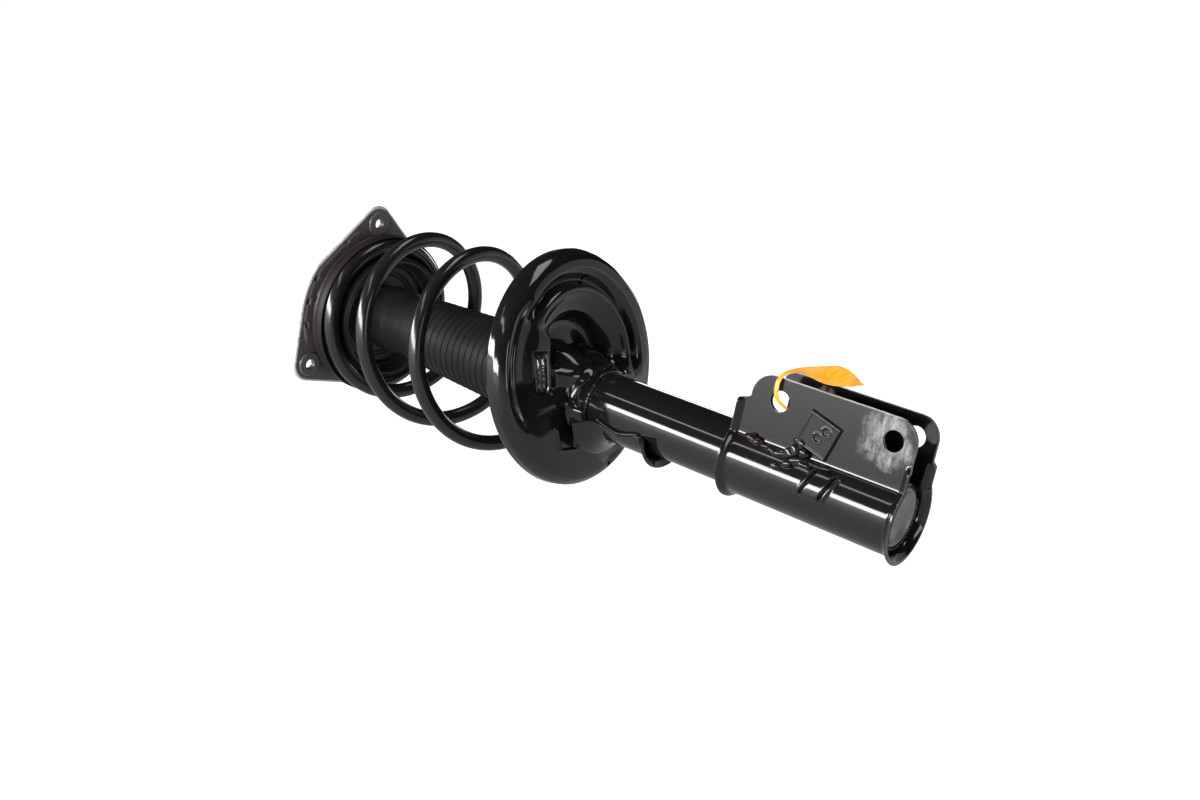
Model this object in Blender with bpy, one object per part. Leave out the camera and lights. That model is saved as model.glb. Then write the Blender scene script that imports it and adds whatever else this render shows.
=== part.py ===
"""Complete front suspension strut: damper, knuckle bracket, coil spring, spring seats, bearing and top mount.

The strut lies along X. X = 0 is the body-side face of the top mount plate, and +X runs down to the knuckle.
The ears of the knuckle bracket point to +Z. Dimensions are in millimetres until `node` turns them to metres.
"""
import math

import bpy
import numpy as np

for old in list(bpy.data.objects):
    bpy.data.objects.remove(old, do_unlink=True)

MM = 0.001
ORIGIN = (-273.85, 0.0, 83.0688)  # added to every point, so that the middle of the box's bottom is the origin
CLEAR = 0.3  # gap left between pieces that sit against one another

# damper
TUBE_R, TUBE_BORE = 25.5, 23.0
TUBE_TOP, TUBE_END = 240.0, 576.0
LINER_R, LINER_BORE = 17.0, 15.2
ROD_R, ROD_TIP, PISTON_X = 10.0, -26.0, 300.0
# spring
WIRE_R, SEAT_TURN_R, COIL_R = 7.0, 68.2, 82.3
COIL_START, COIL_FIRST, COIL_LAST = 21.05, -0.80, 3.62
# lower perch, a dish whose plane leans back towards the top mount at its upper side
PERCH_X, PERCH_Z, PERCH_R, PERCH_LEAN = 269.1, 19.6, 100.3, math.radians(14.2)
PERCH_GAUGE, SEAT_DEPTH = 2.8, -14.4
# knuckle bracket
WRAP_GAUGE, EAR_OUT, EAR_TOP = 3.2, 19.6, 71.5
EAR_X0, EAR_X1, WRAP_X0, WRAP_X1 = 449.5, 582.0, 441.0, 583.5
BOLT_X, BOLT_Z, BOLT_R, LIP = (474.0, 565.0), 54.5, 7.8, 4.6
# top mount
PLATE_T, DISC_R, LOBE_R, STUD_PCR = 3.0, 75.5, 17.0, 86.5
STUD_DEG = (97.0, 217.0, 337.0)


def paint(node_name, colour, metallic, rough):
    mat = bpy.data.materials.new("mat_" + node_name)
    mat.use_nodes = True
    shader = mat.node_tree.nodes["Principled BSDF"]
    shader.inputs["Base Color"].default_value = (*colour, 1.0)
    shader.inputs["Metallic"].default_value = metallic
    shader.inputs["Roughness"].default_value = rough
    return mat


GLOSS = ((0.012, 0.012, 0.013), 0.0, 0.12)
SATIN = ((0.045, 0.043, 0.043), 0.0, 0.42)
RUBBER = ((0.016, 0.016, 0.016), 0.0, 0.62)
PLASTIC = ((0.022, 0.022, 0.023), 0.0, 0.45)
STEEL = ((0.55, 0.55, 0.56), 1.0, 0.28)
CHROME = ((0.80, 0.80, 0.82), 1.0, 0.08)
ZINC = ((0.42, 0.42, 0.40), 1.0, 0.40)
SINTER = ((0.30, 0.29, 0.28), 1.0, 0.55)
ORANGE = ((0.95, 0.33, 0.03), 0.0, 0.40)
FOAM = ((0.55, 0.47, 0.22), 0.0, 0.75)
WHITE = ((0.75, 0.74, 0.70), 0.0, 0.35)


def node(name, points, faces, finish, smooth=True, helper=False):
    """An object from points in millimetres; faces are turned over when the volume comes out negative."""
    p = np.asarray(points, float)
    volume = 0.0
    for f in faces:
        for k in range(1, len(f) - 1):
            volume += np.dot(p[f[0]], np.cross(p[f[k]], p[f[k + 1]]))
    if volume < 0:
        faces = [f[::-1] for f in faces]
    mesh = bpy.data.meshes.new(name)
    mesh.from_pydata([tuple(v) for v in p * MM], [], [tuple(int(i) for i in f) for f in faces])
    mesh.update()
    obj = bpy.data.objects.new(name, mesh)
    bpy.context.scene.collection.objects.link(obj)
    obj.location = tuple(c * MM for c in ORIGIN)
    if helper:
        obj.hide_render = True
        obj.display_type = "WIRE"
        return obj
    mesh.materials.append(paint(name, *finish))
    if smooth:
        mesh.shade_smooth()
        mesh.set_sharp_from_angle(angle=math.radians(35))
    return obj


def boolean(obj, other, operation):
    mod = obj.modifiers.new(operation.lower(), "BOOLEAN")
    mod.operation, mod.object, mod.solver = operation, other, "EXACT"


def grid_faces(rows, columns, wrap_rows=False):
    """Quads of a grid whose columns close up; rows close up too when wrap_rows is set."""
    faces = []
    for i in range(rows if wrap_rows else rows - 1):
        for j in range(columns):
            a, b = i * columns + j, i * columns + (j + 1) % columns
            c, d = ((i + 1) % rows) * columns + (j + 1) % columns, ((i + 1) % rows) * columns + j
            faces.append((a, b, c, d))
    return faces


def lathe(name, profile, finish, steps=40, centre=(0.0, 0.0), helper=False):
    """Turns a closed profile of (x, radius) about the X axis. Radii of 0 at its two ends make a full solid."""
    solid = profile[0][1] == 0 and profile[-1][1] == 0
    body = profile[1:-1] if solid else profile
    points = []
    for x, r in body:
        for j in range(steps):
            a = 2 * math.pi * j / steps
            points.append((x, centre[0] + r * math.cos(a), centre[1] + r * math.sin(a)))
    faces = grid_faces(len(body), steps, wrap_rows=not solid)
    if solid:
        first, last = len(points), len(points) + 1
        points += [(profile[0][0], *centre), (profile[-1][0], *centre)]
        base = (len(body) - 1) * steps
        for j in range(steps):
            faces.append((first, (j + 1) % steps, j))
            faces.append((last, base + j, base + (j + 1) % steps))
    return node(name, points, faces, finish, helper=helper)


def ring(name, x0, x1, r_in, r_out, finish, steps=40, chamfer=0.6, centre=(0.0, 0.0), helper=False):
    c = chamfer
    profile = [(x0, r_in), (x0, r_out - c), (x0 + c, r_out), (x1 - c, r_out), (x1, r_out - c), (x1, r_in)]
    if not c:
        profile = [(x0, r_in), (x0, r_out), (x1, r_out), (x1, r_in)]
    return lathe(name, profile, finish, steps, centre, helper)


def prism(name, outline, axis, low, high, finish, helper=False):
    """A flat outline pushed along X ('x': outline is Y, Z) or along Y ('y': outline is X, Z)."""
    n = len(outline)
    points = []
    for depth in (low, high):
        for u, v in outline:
            points.append((depth, u, v) if axis == "x" else (u, depth, v))
    faces = [tuple(range(n)), tuple(range(2 * n - 1, n - 1, -1))]
    faces += [((j + 1) % n, j, n + j, n + (j + 1) % n) for j in range(n)]
    return node(name, points, faces, finish, smooth=not helper, helper=helper)


def swept(name, centres, radius, finish, sides=12, flat=1.0):
    """A round wire, or a flat strip when flat is small, along a line of points with closed ends."""
    c = np.asarray(centres, float)
    t = np.gradient(c, axis=0)
    t /= np.linalg.norm(t, axis=1)[:, None]
    up = np.array([1.0, 0.02, 0.05])
    points = []
    for k in range(len(c)):
        side = np.cross(t[k], up)
        side /= np.linalg.norm(side)
        lift = np.cross(side, t[k])
        for j in range(sides):
            a = 2 * math.pi * (j + 0.5) / sides
            points.append(c[k] + radius * (math.cos(a) * lift + flat * math.sin(a) * side))
    faces = grid_faces(len(c), sides)
    faces.append(tuple(range(sides - 1, -1, -1)))
    faces.append(tuple(range(len(points) - sides, len(points))))
    return node(name, points, faces, finish)


def arc(cx, cy, r, start, end, steps):
    """Points of an arc in degrees, ends included."""
    out = []
    for k in range(steps + 1):
        a = math.radians(start + (end - start) * k / steps)
        out.append((cx + r * math.cos(a), cy + r * math.sin(a)))
    return out


def hull(points):
    """Convex outline of flat points, anticlockwise."""
    ordered = sorted(set((round(x, 5), round(y, 5)) for x, y in points))
    sides = []
    for run in (ordered, ordered[::-1]):
        line = []
        for p in run:
            while len(line) > 1 and (
                (line[-1][0] - line[-2][0]) * (p[1] - line[-2][1])
                - (line[-1][1] - line[-2][1]) * (p[0] - line[-2][0])
            ) <= 1e-6:
                line.pop()
            line.append(p)
        sides += line[:-1]
    return sides


# ---------------------------------------------------------------- top mount
spots = [(STUD_PCR * math.cos(math.radians(a)), STUD_PCR * math.sin(math.radians(a))) for a in STUD_DEG]
around = arc(0, 0, DISC_R, 0, 360, 60)[:-1]
for y, z in spots:
    around += arc(y, z, LOBE_R, 0, 360, 24)[:-1]
around += arc(0, 0, 86.0, 150, 196, 8)
plate = prism("mount_plate", hull(around), "x", 0.0, PLATE_T, SATIN)
tower = [(-20, 33), (-22, 31), (-22, 24.5), (-19.4, 24.5), (-19.4, 29.8), (-2, 32.6), (6, 33.2), (6, 36.2), (-1, 36.0)]
boolean(plate, lathe("plate_bore", [(-9, 0), (-9, 34.4), (9, 34.4), (9, 0)], None, 28, helper=True), "DIFFERENCE")
boolean(plate, lathe("plate_tower", tower, None, 28, helper=True), "UNION")
for k, (y, z) in enumerate(spots):
    drill = lathe(f"stud_drill_{k}", [(-9, 0), (-9, 4.6), (9, 4.6), (9, 0)], None, 16, (y, z), helper=True)
    boolean(plate, drill, "DIFFERENCE")
    ring(f"stud_boss_{k + 1}", PLATE_T + CLEAR, PLATE_T + 2.4, 4.6, 11.6, SATIN, 20, 0.5, (y, z))
lathe("mount_rubber", [(-18.6, 13.3), (-19.1, 22), (-17, 28.9), (-2, 31.9), (4.6, 32.6), (5.6, 24), (3.4, 13.3)], RUBBER, 28)
ring("mount_sleeve", -20.4, 4.6, 7.4, 13.0, ZINC, 20, 0)
ring("mount_washer", -23.4, -20.7, 7.4, 19.0, ZINC, 24)
nut = prism("rod_nut", arc(0, 0, 12.6, 0, 300, 5), "x", -33.0, -23.7, ZINC)
boolean(nut, lathe("nut_bore", [(-40, 0), (-40, 7.4), (-20, 7.4), (-20, 0)], None, 16, helper=True), "DIFFERENCE")
cover = lathe(
    "bearing_cover",
    [(PLATE_T + CLEAR, 40), (PLATE_T + CLEAR, 74), (5.8, 74.8), (7.6, 73.8), (7.6, 61.5), (4.7, 60), (4.7, 40)],
    PLASTIC, 48,
)
for k in range(20):
    a = math.radians(9 + 18 * k)
    u, v = (math.cos(a), math.sin(a)), (-math.sin(a), math.cos(a))
    pocket = [(72.6 * u[0] + w * v[0], 72.6 * u[1] + w * v[1]) for w in (-2.2, 2.2)]
    pocket += [(78 * u[0] + w * v[0], 78 * u[1] + w * v[1]) for w in (2.2, -2.2)]
    boolean(cover, prism(f"slot_{k}", pocket, "x", 4.3, 6.2, None, helper=True), "DIFFERENCE")
ring("bearing_upper_race", 5.0, 6.2, 42.0, 58.0, STEEL, 28, 0)
lathe("bearing_ball_ring", [(6.5, 46), (6.5, 54), (8.5, 54), (8.5, 46)], WHITE, 28)
lathe(
    "piston_rod",
    [(ROD_TIP - 10, 0), (ROD_TIP - 10, 6.2), (ROD_TIP - 9, 7.0), (4.9, 7.0), (5.4, ROD_R), (PISTON_X - 2, ROD_R),
     (PISTON_X - 1.4, 5.4), (PISTON_X + 32, 5.4), (PISTON_X + 33, 4.4), (PISTON_X + 33, 0)],
    CHROME, 20,
)
ring("rebound_stop", 270.0, 278.0, ROD_R + 2 * CLEAR, 14.2, STEEL, 20, 0)
ring("piston", PISTON_X, PISTON_X + 16, 5.9, 14.0, SINTER, 20, 0)
ring("piston_band", PISTON_X + 4, PISTON_X + 12, 14.4, 14.9, WHITE, 24, 0)
pnut = prism("piston_nut", arc(0, 0, 10.2, 0, 300, 5), "x", PISTON_X + 16.3, PISTON_X + 26, ZINC)
boolean(pnut, lathe("pnut_bore", [(300, 0), (300, 5.7), (340, 5.7), (340, 0)], None, 20, helper=True), "DIFFERENCE")

# ---------------------------------------------------------------- upper spring seat
ring("bearing_lower_race", 8.8, 10.0, 42.0, 58.0, STEEL, 28, 0)
lathe(
    "upper_spring_seat",
    [(10.3, 27), (10.3, 60), (8.0, 61.5), (8.0, 76.2), (8.8, 77.1), (11.2, 77.1), (12.0, 76.3), (12.0, 57.3),
     (33.6, 57.3), (34.6, 56.4), (34.6, 54.4), (30, 52.8), (16, 50), (13.2, 43), (13.2, 27)],
    PLASTIC, 40,
)
lathe(
    "upper_spring_pad",
    [(12.3, 57.6), (12.3, 76.5), (13.1, 77.3), (21.0, 77.3), (21.8, 76.7), (20.6, 75.9), (15.6, 75.7), (13.7, 73.2),
     (13.7, 62.0), (15.0, 59.9), (33, 59.5), (34.4, 58.6), (34.4, 57.6)],
    RUBBER, 40,
)
lathe(
    "bump_stop",
    [(13.6, 11), (13.6, 26), (34, 26), (36, 23), (38, 26), (52, 25.4), (55, 21.4), (58, 24.4), (72, 23), (76, 19.6),
     (80, 21.6), (96, 18), (100, 15), (100, 11)],
    FOAM, 20,
)


# ---------------------------------------------------------------- lower perch
def blend(x):
    x = min(1.0, max(0.0, x))
    return x * x * (3 - 2 * x)


def curve(table, s):
    """A table of (place, value) read at s, with smooth steps between the rows."""
    for (a, va), (b, vb) in zip(table, table[1:]):
        if s <= b:
            return va + (vb - va) * blend((s - a) / (b - a))
    return table[-1][1]


UPPER = [(0, 33), (0.04, 33), (0.12, 22), (0.20, 2), (0.29, -5), (0.38, -2), (0.50, 11), (0.56, 11), (0.66, -1),
         (0.72, -1), (0.84, 12), (0.90, 11.5), (0.97, 5), (1.0, -1)]
LOWER = [(0, 33), (0.04, 33), (0.14, 26), (0.32, 19), (0.60, 14.5), (0.84, 12), (0.90, 10.5), (0.97, 5), (1.0, -1)]
RADII = (0.0, 0.05, 0.13, 0.21, 0.29, 0.38, 0.47, 0.56, 0.63, 0.70, 0.77, 0.84, 0.91, 0.96, 0.99, 1.0)


def perch_point(s, a, depth=None):
    """Share s from neck to rim at angle a: the neck stands square to the tube and the dish leans."""
    share = blend((math.sin(a) + 0.30) / 0.62)
    height = curve(LOWER, s) * (1 - share) + curve(UPPER, s) * share if depth is None else depth
    radius = (TUBE_R + CLEAR) * (1 - s) + PERCH_R * s
    lean_c, lean_s = math.cos(PERCH_LEAN), math.sin(PERCH_LEAN)
    y, z = radius * math.cos(a), radius * math.sin(a) - PERCH_Z / lean_c * (1 - s)
    dish_at = np.array([PERCH_X - z * lean_s + height * lean_c, y, PERCH_Z + z * lean_c + height * lean_s])
    neck_at = np.array([PERCH_X + 4 + height, y, radius * math.sin(a)])
    return neck_at + (dish_at - neck_at) * blend(s / 0.3)


def perch():
    steps = 36
    outer = [[perch_point(s, 2 * math.pi * j / steps) for j in range(steps)] for s in RADII]
    outer += [[perch_point(1.0, 2 * math.pi * j / steps, d) for j in range(steps)] for d in (-6.0, -11.0)]
    g = np.array(outer)
    du = np.gradient(g, axis=0)
    dv = np.roll(g, -1, axis=1) - np.roll(g, 1, axis=1)
    n = np.cross(du, dv)
    n /= np.linalg.norm(n, axis=2)[:, :, None]
    if n[8, :, 0].mean() > 0:
        n = -n
    inner = g + n * PERCH_GAUGE
    inner[0] = g[0] - (PERCH_GAUGE, 0, 0)  # the neck ends square on the tube
    rows = np.concatenate([g, inner[::-1]])
    return node("lower_spring_perch", rows.reshape(-1, 3), grid_faces(len(rows), steps, wrap_rows=True), GLOSS)


dish = perch()
boolean(dish, prism("drain_a", arc(4, 94, 2.6, 0, 330, 11), "x", 230, 300, None, helper=True), "DIFFERENCE")
boolean(dish, prism("drain_b", arc(34, -62, 2.6, 0, 330, 11), "x", 260, 330, None, helper=True), "DIFFERENCE")


def on_dish(y, z, depth):
    """A point of the leaning plane, given its Y and Z in the object and its depth along the plane's own axis."""
    return (PERCH_X + (depth - (z - PERCH_Z) * math.sin(PERCH_LEAN)) / math.cos(PERCH_LEAN), y, z)


pad = []
for r, depth in ((71.5, -7.1), (71.5, -4.6), (88.0, -4.6), (88.0, -7.1)):
    for j in range(32):
        a = 2 * math.pi * j / 32
        pad.append(on_dish(r * math.cos(a), 14 + r * math.sin(a), depth))
node("lower_spring_pad", pad, grid_faces(4, 32, wrap_rows=True), RUBBER)


def coil_point(t):
    """Centre of the wire after t turns: a small turn flat in the upper seat, wider turns that lean a little, then flat on the dish."""
    a = 2 * math.pi * t
    grown = blend((t + 0.217) / 1.228)
    landed = blend((t - 2.2) / 1.3)
    radius = SEAT_TURN_R + (COIL_R - SEAT_TURN_R) * grown - 2.3 * landed
    centre = 5.8 * grown + 8.2 * landed
    y, z = -radius * math.cos(a), centre - radius * math.sin(a)
    pitched = 26.5 + 64.0 * t + 2.25 * t * t + 24 * blend((t - 2.4) / 0.6)
    x = COIL_START + 3 * math.log(1 + math.exp((pitched - COIL_START) / 3))
    x += grown * (1 - blend((t - 2.5) / 0.5)) * (4.94 * math.sin(a) - 5.4 * math.cos(a))
    stop = on_dish(y, z, SEAT_DEPTH)[0]
    return (stop - 4.0 * math.log(1 + math.exp((stop - x) / 4.0)), y, z) if x > 150 else (x, y, z)


turns = np.linspace(COIL_FIRST, COIL_LAST, 84)
swept("coil_spring", [coil_point(t) for t in turns], WIRE_R, GLOSS, 9)

# ---------------------------------------------------------------- damper
lathe(
    "strut_tube",
    [(TUBE_TOP + 3, 20), (TUBE_TOP + 1, 20.4), (TUBE_TOP, 22), (TUBE_TOP, 24), (TUBE_TOP + 1.5, TUBE_R),
     (TUBE_END, TUBE_R), (TUBE_END, TUBE_BORE), (TUBE_TOP + 3, TUBE_BORE)],
    GLOSS, 36,
)
ring("rod_seal", TUBE_TOP + 3.3, TUBE_TOP + 7.7, ROD_R + 2 * CLEAR, 22.4, RUBBER, 20, 0)
ring("rod_guide", TUBE_TOP + 8, TUBE_TOP + 26, ROD_R + 2 * CLEAR, 22.4, SINTER, 20, 0)
lathe("pressure_tube", [(TUBE_TOP + 26.3, LINER_BORE), (TUBE_TOP + 26.3, LINER_R), (545, LINER_R),
                        (545, LINER_BORE)], STEEL, 24)
lathe("base_valve", [(545.3, 0), (545.3, 19.4), (546.3, 20.4), (552, 20.4), (556, 12), (556, 0)], SINTER, 20)
lathe("tube_end_cap", [(563, 0), (564, 12), (568, 22.6), (576, 22.6), (577.6, 20.8), (574, 17), (571.5, 10),
                       (571, 0)], GLOSS, 32)

# dust boot: a moulded cup at the top seat, then bellows that widen towards the perch
boot = [(27, 29.2), (28, 31), (50, 30.4), (53, 28.4), (74, 28.2), (77, 31.6), (92, 32.4), (96, 30.4)]
for k in range(10):
    rim = 33.6 + 5.6 * k / 9
    boot += [(102 + 15.3 * k, rim), (109.6 + 15.3 * k, rim - 3.2)]
boot += [(253, 38.4), (253, 36.4), (100, 28.6), (54, 26.4), (50, 28.6), (27, 28.4)]
lathe("dust_boot", boot, RUBBER, 24)

# support bracket under the perch, wrapped round the underside of the tube
stations = ((307.5, 46), (311, 39.5), (316, 33), (323, 28.6), (333, 26.2), (364, 26.2), (368.4, 28), (371, 32))
sheets = []
for gauge in (0.0, 2.8):
    for j in range(15):
        a = math.radians(200 + 140 * j / 14)
        for x, r in stations:
            sheets.append((x + 0.35 * gauge * (x < 325) + 0.0, (r + gauge) * math.cos(a), (r + gauge) * math.sin(a)))
wide, count = len(stations), 15 * len(stations)
faces = []
for j in range(14):
    for i in range(wide - 1):
        q = (j * wide + i, j * wide + i + 1, (j + 1) * wide + i + 1, (j + 1) * wide + i)
        faces += [q, tuple(count + v for v in q[::-1])]
    for i in (0, wide - 1):
        q = (j * wide + i, (j + 1) * wide + i, count + (j + 1) * wide + i, count + j * wide + i)
        faces.append(q if i == 0 else q[::-1])
for i in range(wide - 1):
    for j in (0, 14):
        q = (j * wide + i, count + j * wide + i, count + j * wide + i + 1, j * wide + i + 1)
        faces.append(q if j == 0 else q[::-1])
node("perch_bracket", sheets, faces, GLOSS)


# ---------------------------------------------------------------- knuckle bracket
def wrap_outline(outer, inner, ear_out, ear_in, top):
    """Section of the bracket across the strut: two ears and the wrap that joins them under the tube."""
    a, b = math.acos(ear_out / outer), math.acos(ear_in / inner)
    line = [(-ear_out, top)] + arc(0, 0, outer, 180 - math.degrees(a), 360 + math.degrees(a), 26) + [(ear_out, top)]
    return line + [(ear_in, top)] + arc(0, 0, inner, 360 + math.degrees(b), 180 - math.degrees(b), 26) + [(-ear_in, top)]


OUT, INN = TUBE_R + CLEAR + WRAP_GAUGE, TUBE_R + CLEAR
EAR_IN = EAR_OUT - WRAP_GAUGE
bracket = prism("knuckle_bracket", wrap_outline(OUT, INN, EAR_OUT, EAR_IN, EAR_TOP), "x", WRAP_X0, WRAP_X1, GLOSS)
for k, (x0, x1, top) in enumerate(((WRAP_X0 - 0.2, WRAP_X0 + 3.0, 50.0), (WRAP_X1 - 3.0, WRAP_X1 + 0.2, 40.0))):
    lip = wrap_outline(OUT + LIP, INN + 0.05, EAR_OUT + LIP, EAR_IN + 0.05, top)
    boolean(bracket, prism(f"lip_{k}", lip, "x", x0, x1, None, helper=True), "UNION")
turn = math.radians(-16)
stamp = []
for u, v in ((-13.4, -13.4), (13.4, -13.4), (13.4, 13.4), (-13.4, 13.4)):
    stamp.append((510.6 + u * math.cos(turn) - v * math.sin(turn), 40.6 + u * math.sin(turn) + v * math.cos(turn)))
boolean(bracket, prism("stamp", stamp, "y", -EAR_OUT - 1.7, -EAR_OUT + 1.0, None, helper=True), "UNION")
c0 = [(WRAP_X0 - 2, 50.4), (EAR_X0, 50.4), (EAR_X0, EAR_TOP - 17)] + arc(EAR_X0 + 17, EAR_TOP - 17, 17, 180, 90, 8)
c0 += [(EAR_X0 + 17, EAR_TOP + 2), (WRAP_X0 - 2, EAR_TOP + 2)]
c1 = [(WRAP_X1 + 2, 40.4), (EAR_X1, 40.4), (EAR_X1, EAR_TOP - 17)] + arc(EAR_X1 - 17, EAR_TOP - 17, 17, 0, 90, 8)
c1 += [(EAR_X1 - 17, EAR_TOP + 2), (WRAP_X1 + 2, EAR_TOP + 2)]
for k, corner in enumerate((c0, c1)):
    boolean(bracket, prism(f"corner_{k}", corner, "y", -40, 40, None, helper=True), "DIFFERENCE")
for k, x in enumerate(BOLT_X):
    hole = arc(x, BOLT_Z, BOLT_R, 0, 345, 23)
    boolean(bracket, prism(f"bolt_hole_{k}", hole, "y", -40, 40, None, helper=True), "DIFFERENCE")

# inspection tag: a strap through the upper bolt hole of one ear, with a flag over the top of the ears
path = [(478.2, -16.8, 50.4), (477.2, -17.6, 51.3), (475.5, -18.8, 52.6), (472.5, -22.2, 55.5), (470.5, -23.4, 64),
        (470.5, -22.4, 71.5), (473, -17, 76.5), (478, -9, 79), (486, -2, 79.6), (496, 3, 80), (508, 7, 80.5), (520, 10, 80)]
across = [(1, 0, 0.3)] * 6 + [(1, 0.3, 0.1), (0.8, -0.6, 0), (0.3, -0.95, 0.1)] + [(0.2, -0.97, -0.1)] * 3
half = [1.7] * 7 + [2.6, 5.0, 7.6, 7.0, 1.5]
tag = []
for p, w, h in zip(path, across, half):
    w = np.array(w) / np.linalg.norm(w)
    k = min(len(path) - 2, path.index(p))
    n = np.cross(np.array(path[k + 1]) - np.array(path[k]), w)
    n /= np.linalg.norm(n)
    for e, f in ((-1, -1), (1, -1), (1, 1), (-1, 1)):
        tag.append(np.array(p) + w * h * e + n * 0.4 * f)
faces = grid_faces(len(path), 4) + [(3, 2, 1, 0), tuple(range(len(tag) - 4, len(tag)))]
node("inspection_tag", tag, faces, ORANGE, smooth=False)
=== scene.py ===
"""Complete front suspension strut, finished for viewing: painted damper and bracket, coil spring, seats and top mount.

Shapes are worked out in millimetres in the strut's own lengths: x = 0 is the body-side face of the top plate, x grows
towards the knuckle, y = z = 0 is the strut's axis and the bracket's ears point to +z. `placed` and `mesh_piece` turn
them to metres in the shared frame.
"""
import math

import bpy
import numpy as np
from mathutils import Matrix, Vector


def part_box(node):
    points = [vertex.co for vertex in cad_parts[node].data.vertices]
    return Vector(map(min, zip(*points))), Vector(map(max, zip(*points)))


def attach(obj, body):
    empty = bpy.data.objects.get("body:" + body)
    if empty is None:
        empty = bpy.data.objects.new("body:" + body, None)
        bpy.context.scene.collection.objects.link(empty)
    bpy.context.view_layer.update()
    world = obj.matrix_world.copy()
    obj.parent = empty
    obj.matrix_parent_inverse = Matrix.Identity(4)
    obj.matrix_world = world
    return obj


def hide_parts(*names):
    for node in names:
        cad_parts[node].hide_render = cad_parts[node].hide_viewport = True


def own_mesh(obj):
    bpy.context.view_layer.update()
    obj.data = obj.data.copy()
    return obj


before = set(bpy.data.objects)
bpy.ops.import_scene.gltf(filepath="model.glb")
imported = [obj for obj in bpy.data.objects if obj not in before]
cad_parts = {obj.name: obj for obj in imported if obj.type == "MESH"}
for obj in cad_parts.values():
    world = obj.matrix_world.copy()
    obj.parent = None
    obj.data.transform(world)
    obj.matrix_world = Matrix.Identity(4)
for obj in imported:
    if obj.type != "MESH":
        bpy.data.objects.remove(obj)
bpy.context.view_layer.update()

MM = 0.001
TAU = 2 * math.pi
tube_low, tube_high = (np.array(corner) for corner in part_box("strut_tube"))
TUBE_END = 576.0
ORIGIN = np.array([tube_high[0] / MM - TUBE_END, *((tube_low + tube_high)[1:] / 2 / MM)])
TUBE_R = 25.5
PERCH_X, PERCH_Z, PERCH_R, LEAN = 269.1, 19.6, 100.3, math.radians(14.2)
WIRE_R = 7.0
SHEET = 2.6  # gauge of the pressings round the perch
LOBES = [(86.5 * math.cos(math.radians(deg)), 86.5 * math.sin(math.radians(deg))) for deg in (97, 217, 337)]
EAR_OUT, EAR_TOP, WRAP_R, BRACKET_GAUGE = 19.6, 71.5, 29.0, 3.2
EAR_X0, EAR_X1, WRAP_X0, WRAP_X1 = 449.5, 582.0, 441.0, 583.5
BOLT_X, BOLT_Z, BOLT_R = (474.0, 565.0), 54.5, 7.8


def placed(point):
    """A point of the strut's own lengths, in metres in the shared frame."""
    return tuple(float(v) for v in (np.array(point) + ORIGIN) * MM)


# ------------------------------------------------------------------ making meshes
def smooth(x):
    """0 below 0, 1 above 1, and 3x^2 - 2x^3 between them."""
    x = np.clip(x, 0, 1)
    return x * x * (3 - 2 * x)


def full_turn(count):
    """Angles of count equal steps round a circle."""
    return np.arange(count) * TAU / count


def bump(x, width):
    """A round hill, 1 at x = 0, falling to 0 at x = width on both sides."""
    return smooth(1 - np.abs(x) / width)


def mix(a, b, share):
    """a where share is 0, b where it is 1."""
    return a + (b - a) * share


def along(table, s):
    """A table of (place, value) read at s along one smooth curve through its rows.

    Each span is a cubic. Its end slopes are the harmonic mean of the slopes on either side, and level at a peak, so it
    never overshoots.
    """
    place, value = np.array(table, float).T
    slope = np.diff(value) / np.diff(place)
    before, after = slope[:-1], slope[1:]
    total = np.where(before + after == 0, 1, before + after)
    bend = np.where(before * after > 0, 2 * before * after / total, 0)
    bend = np.concatenate([[slope[0]], bend, [slope[-1]]])
    k = np.clip(np.searchsorted(place, s, side="right") - 1, 0, len(place) - 2)
    span = place[k + 1] - place[k]
    t = np.clip((s - place[k]) / span, 0, 1)
    return (value[k] * (1 + 2 * t) * (1 - t) ** 2 + value[k + 1] * t * t * (3 - 2 * t)
            + span * t * (1 - t) * (bend[k] * (1 - t) - bend[k + 1] * t))


def grid_quads(rows, columns, around, loop):
    """Corner numbers of the faces of a grid, as whole arrays; its columns close when around, its rows when loop."""
    i = np.arange(rows if loop else rows - 1)[:, None]
    j = np.arange(columns if around else columns - 1)[None, :]
    i2, j2 = (i + 1) % rows, (j + 1) % columns
    corners = np.broadcast_arrays(i * columns + j, i * columns + j2, i2 * columns + j2, i2 * columns + j)
    return np.stack(corners, -1).reshape(-1, 4)


def signed_volume(points, faces):
    """Six times the volume that the four-cornered faces enclose; below 0 when they look inwards."""
    a, b, c, d = (points[faces[:, k]] for k in range(4))
    return (np.einsum("ij,ij->i", a, np.cross(b, c)) + np.einsum("ij,ij->i", a, np.cross(c, d))).sum()


def link(name, data):
    """A new object in the scene that carries the data."""
    obj = bpy.data.objects.new(name, data)
    bpy.context.scene.collection.objects.link(obj)
    return obj


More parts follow.
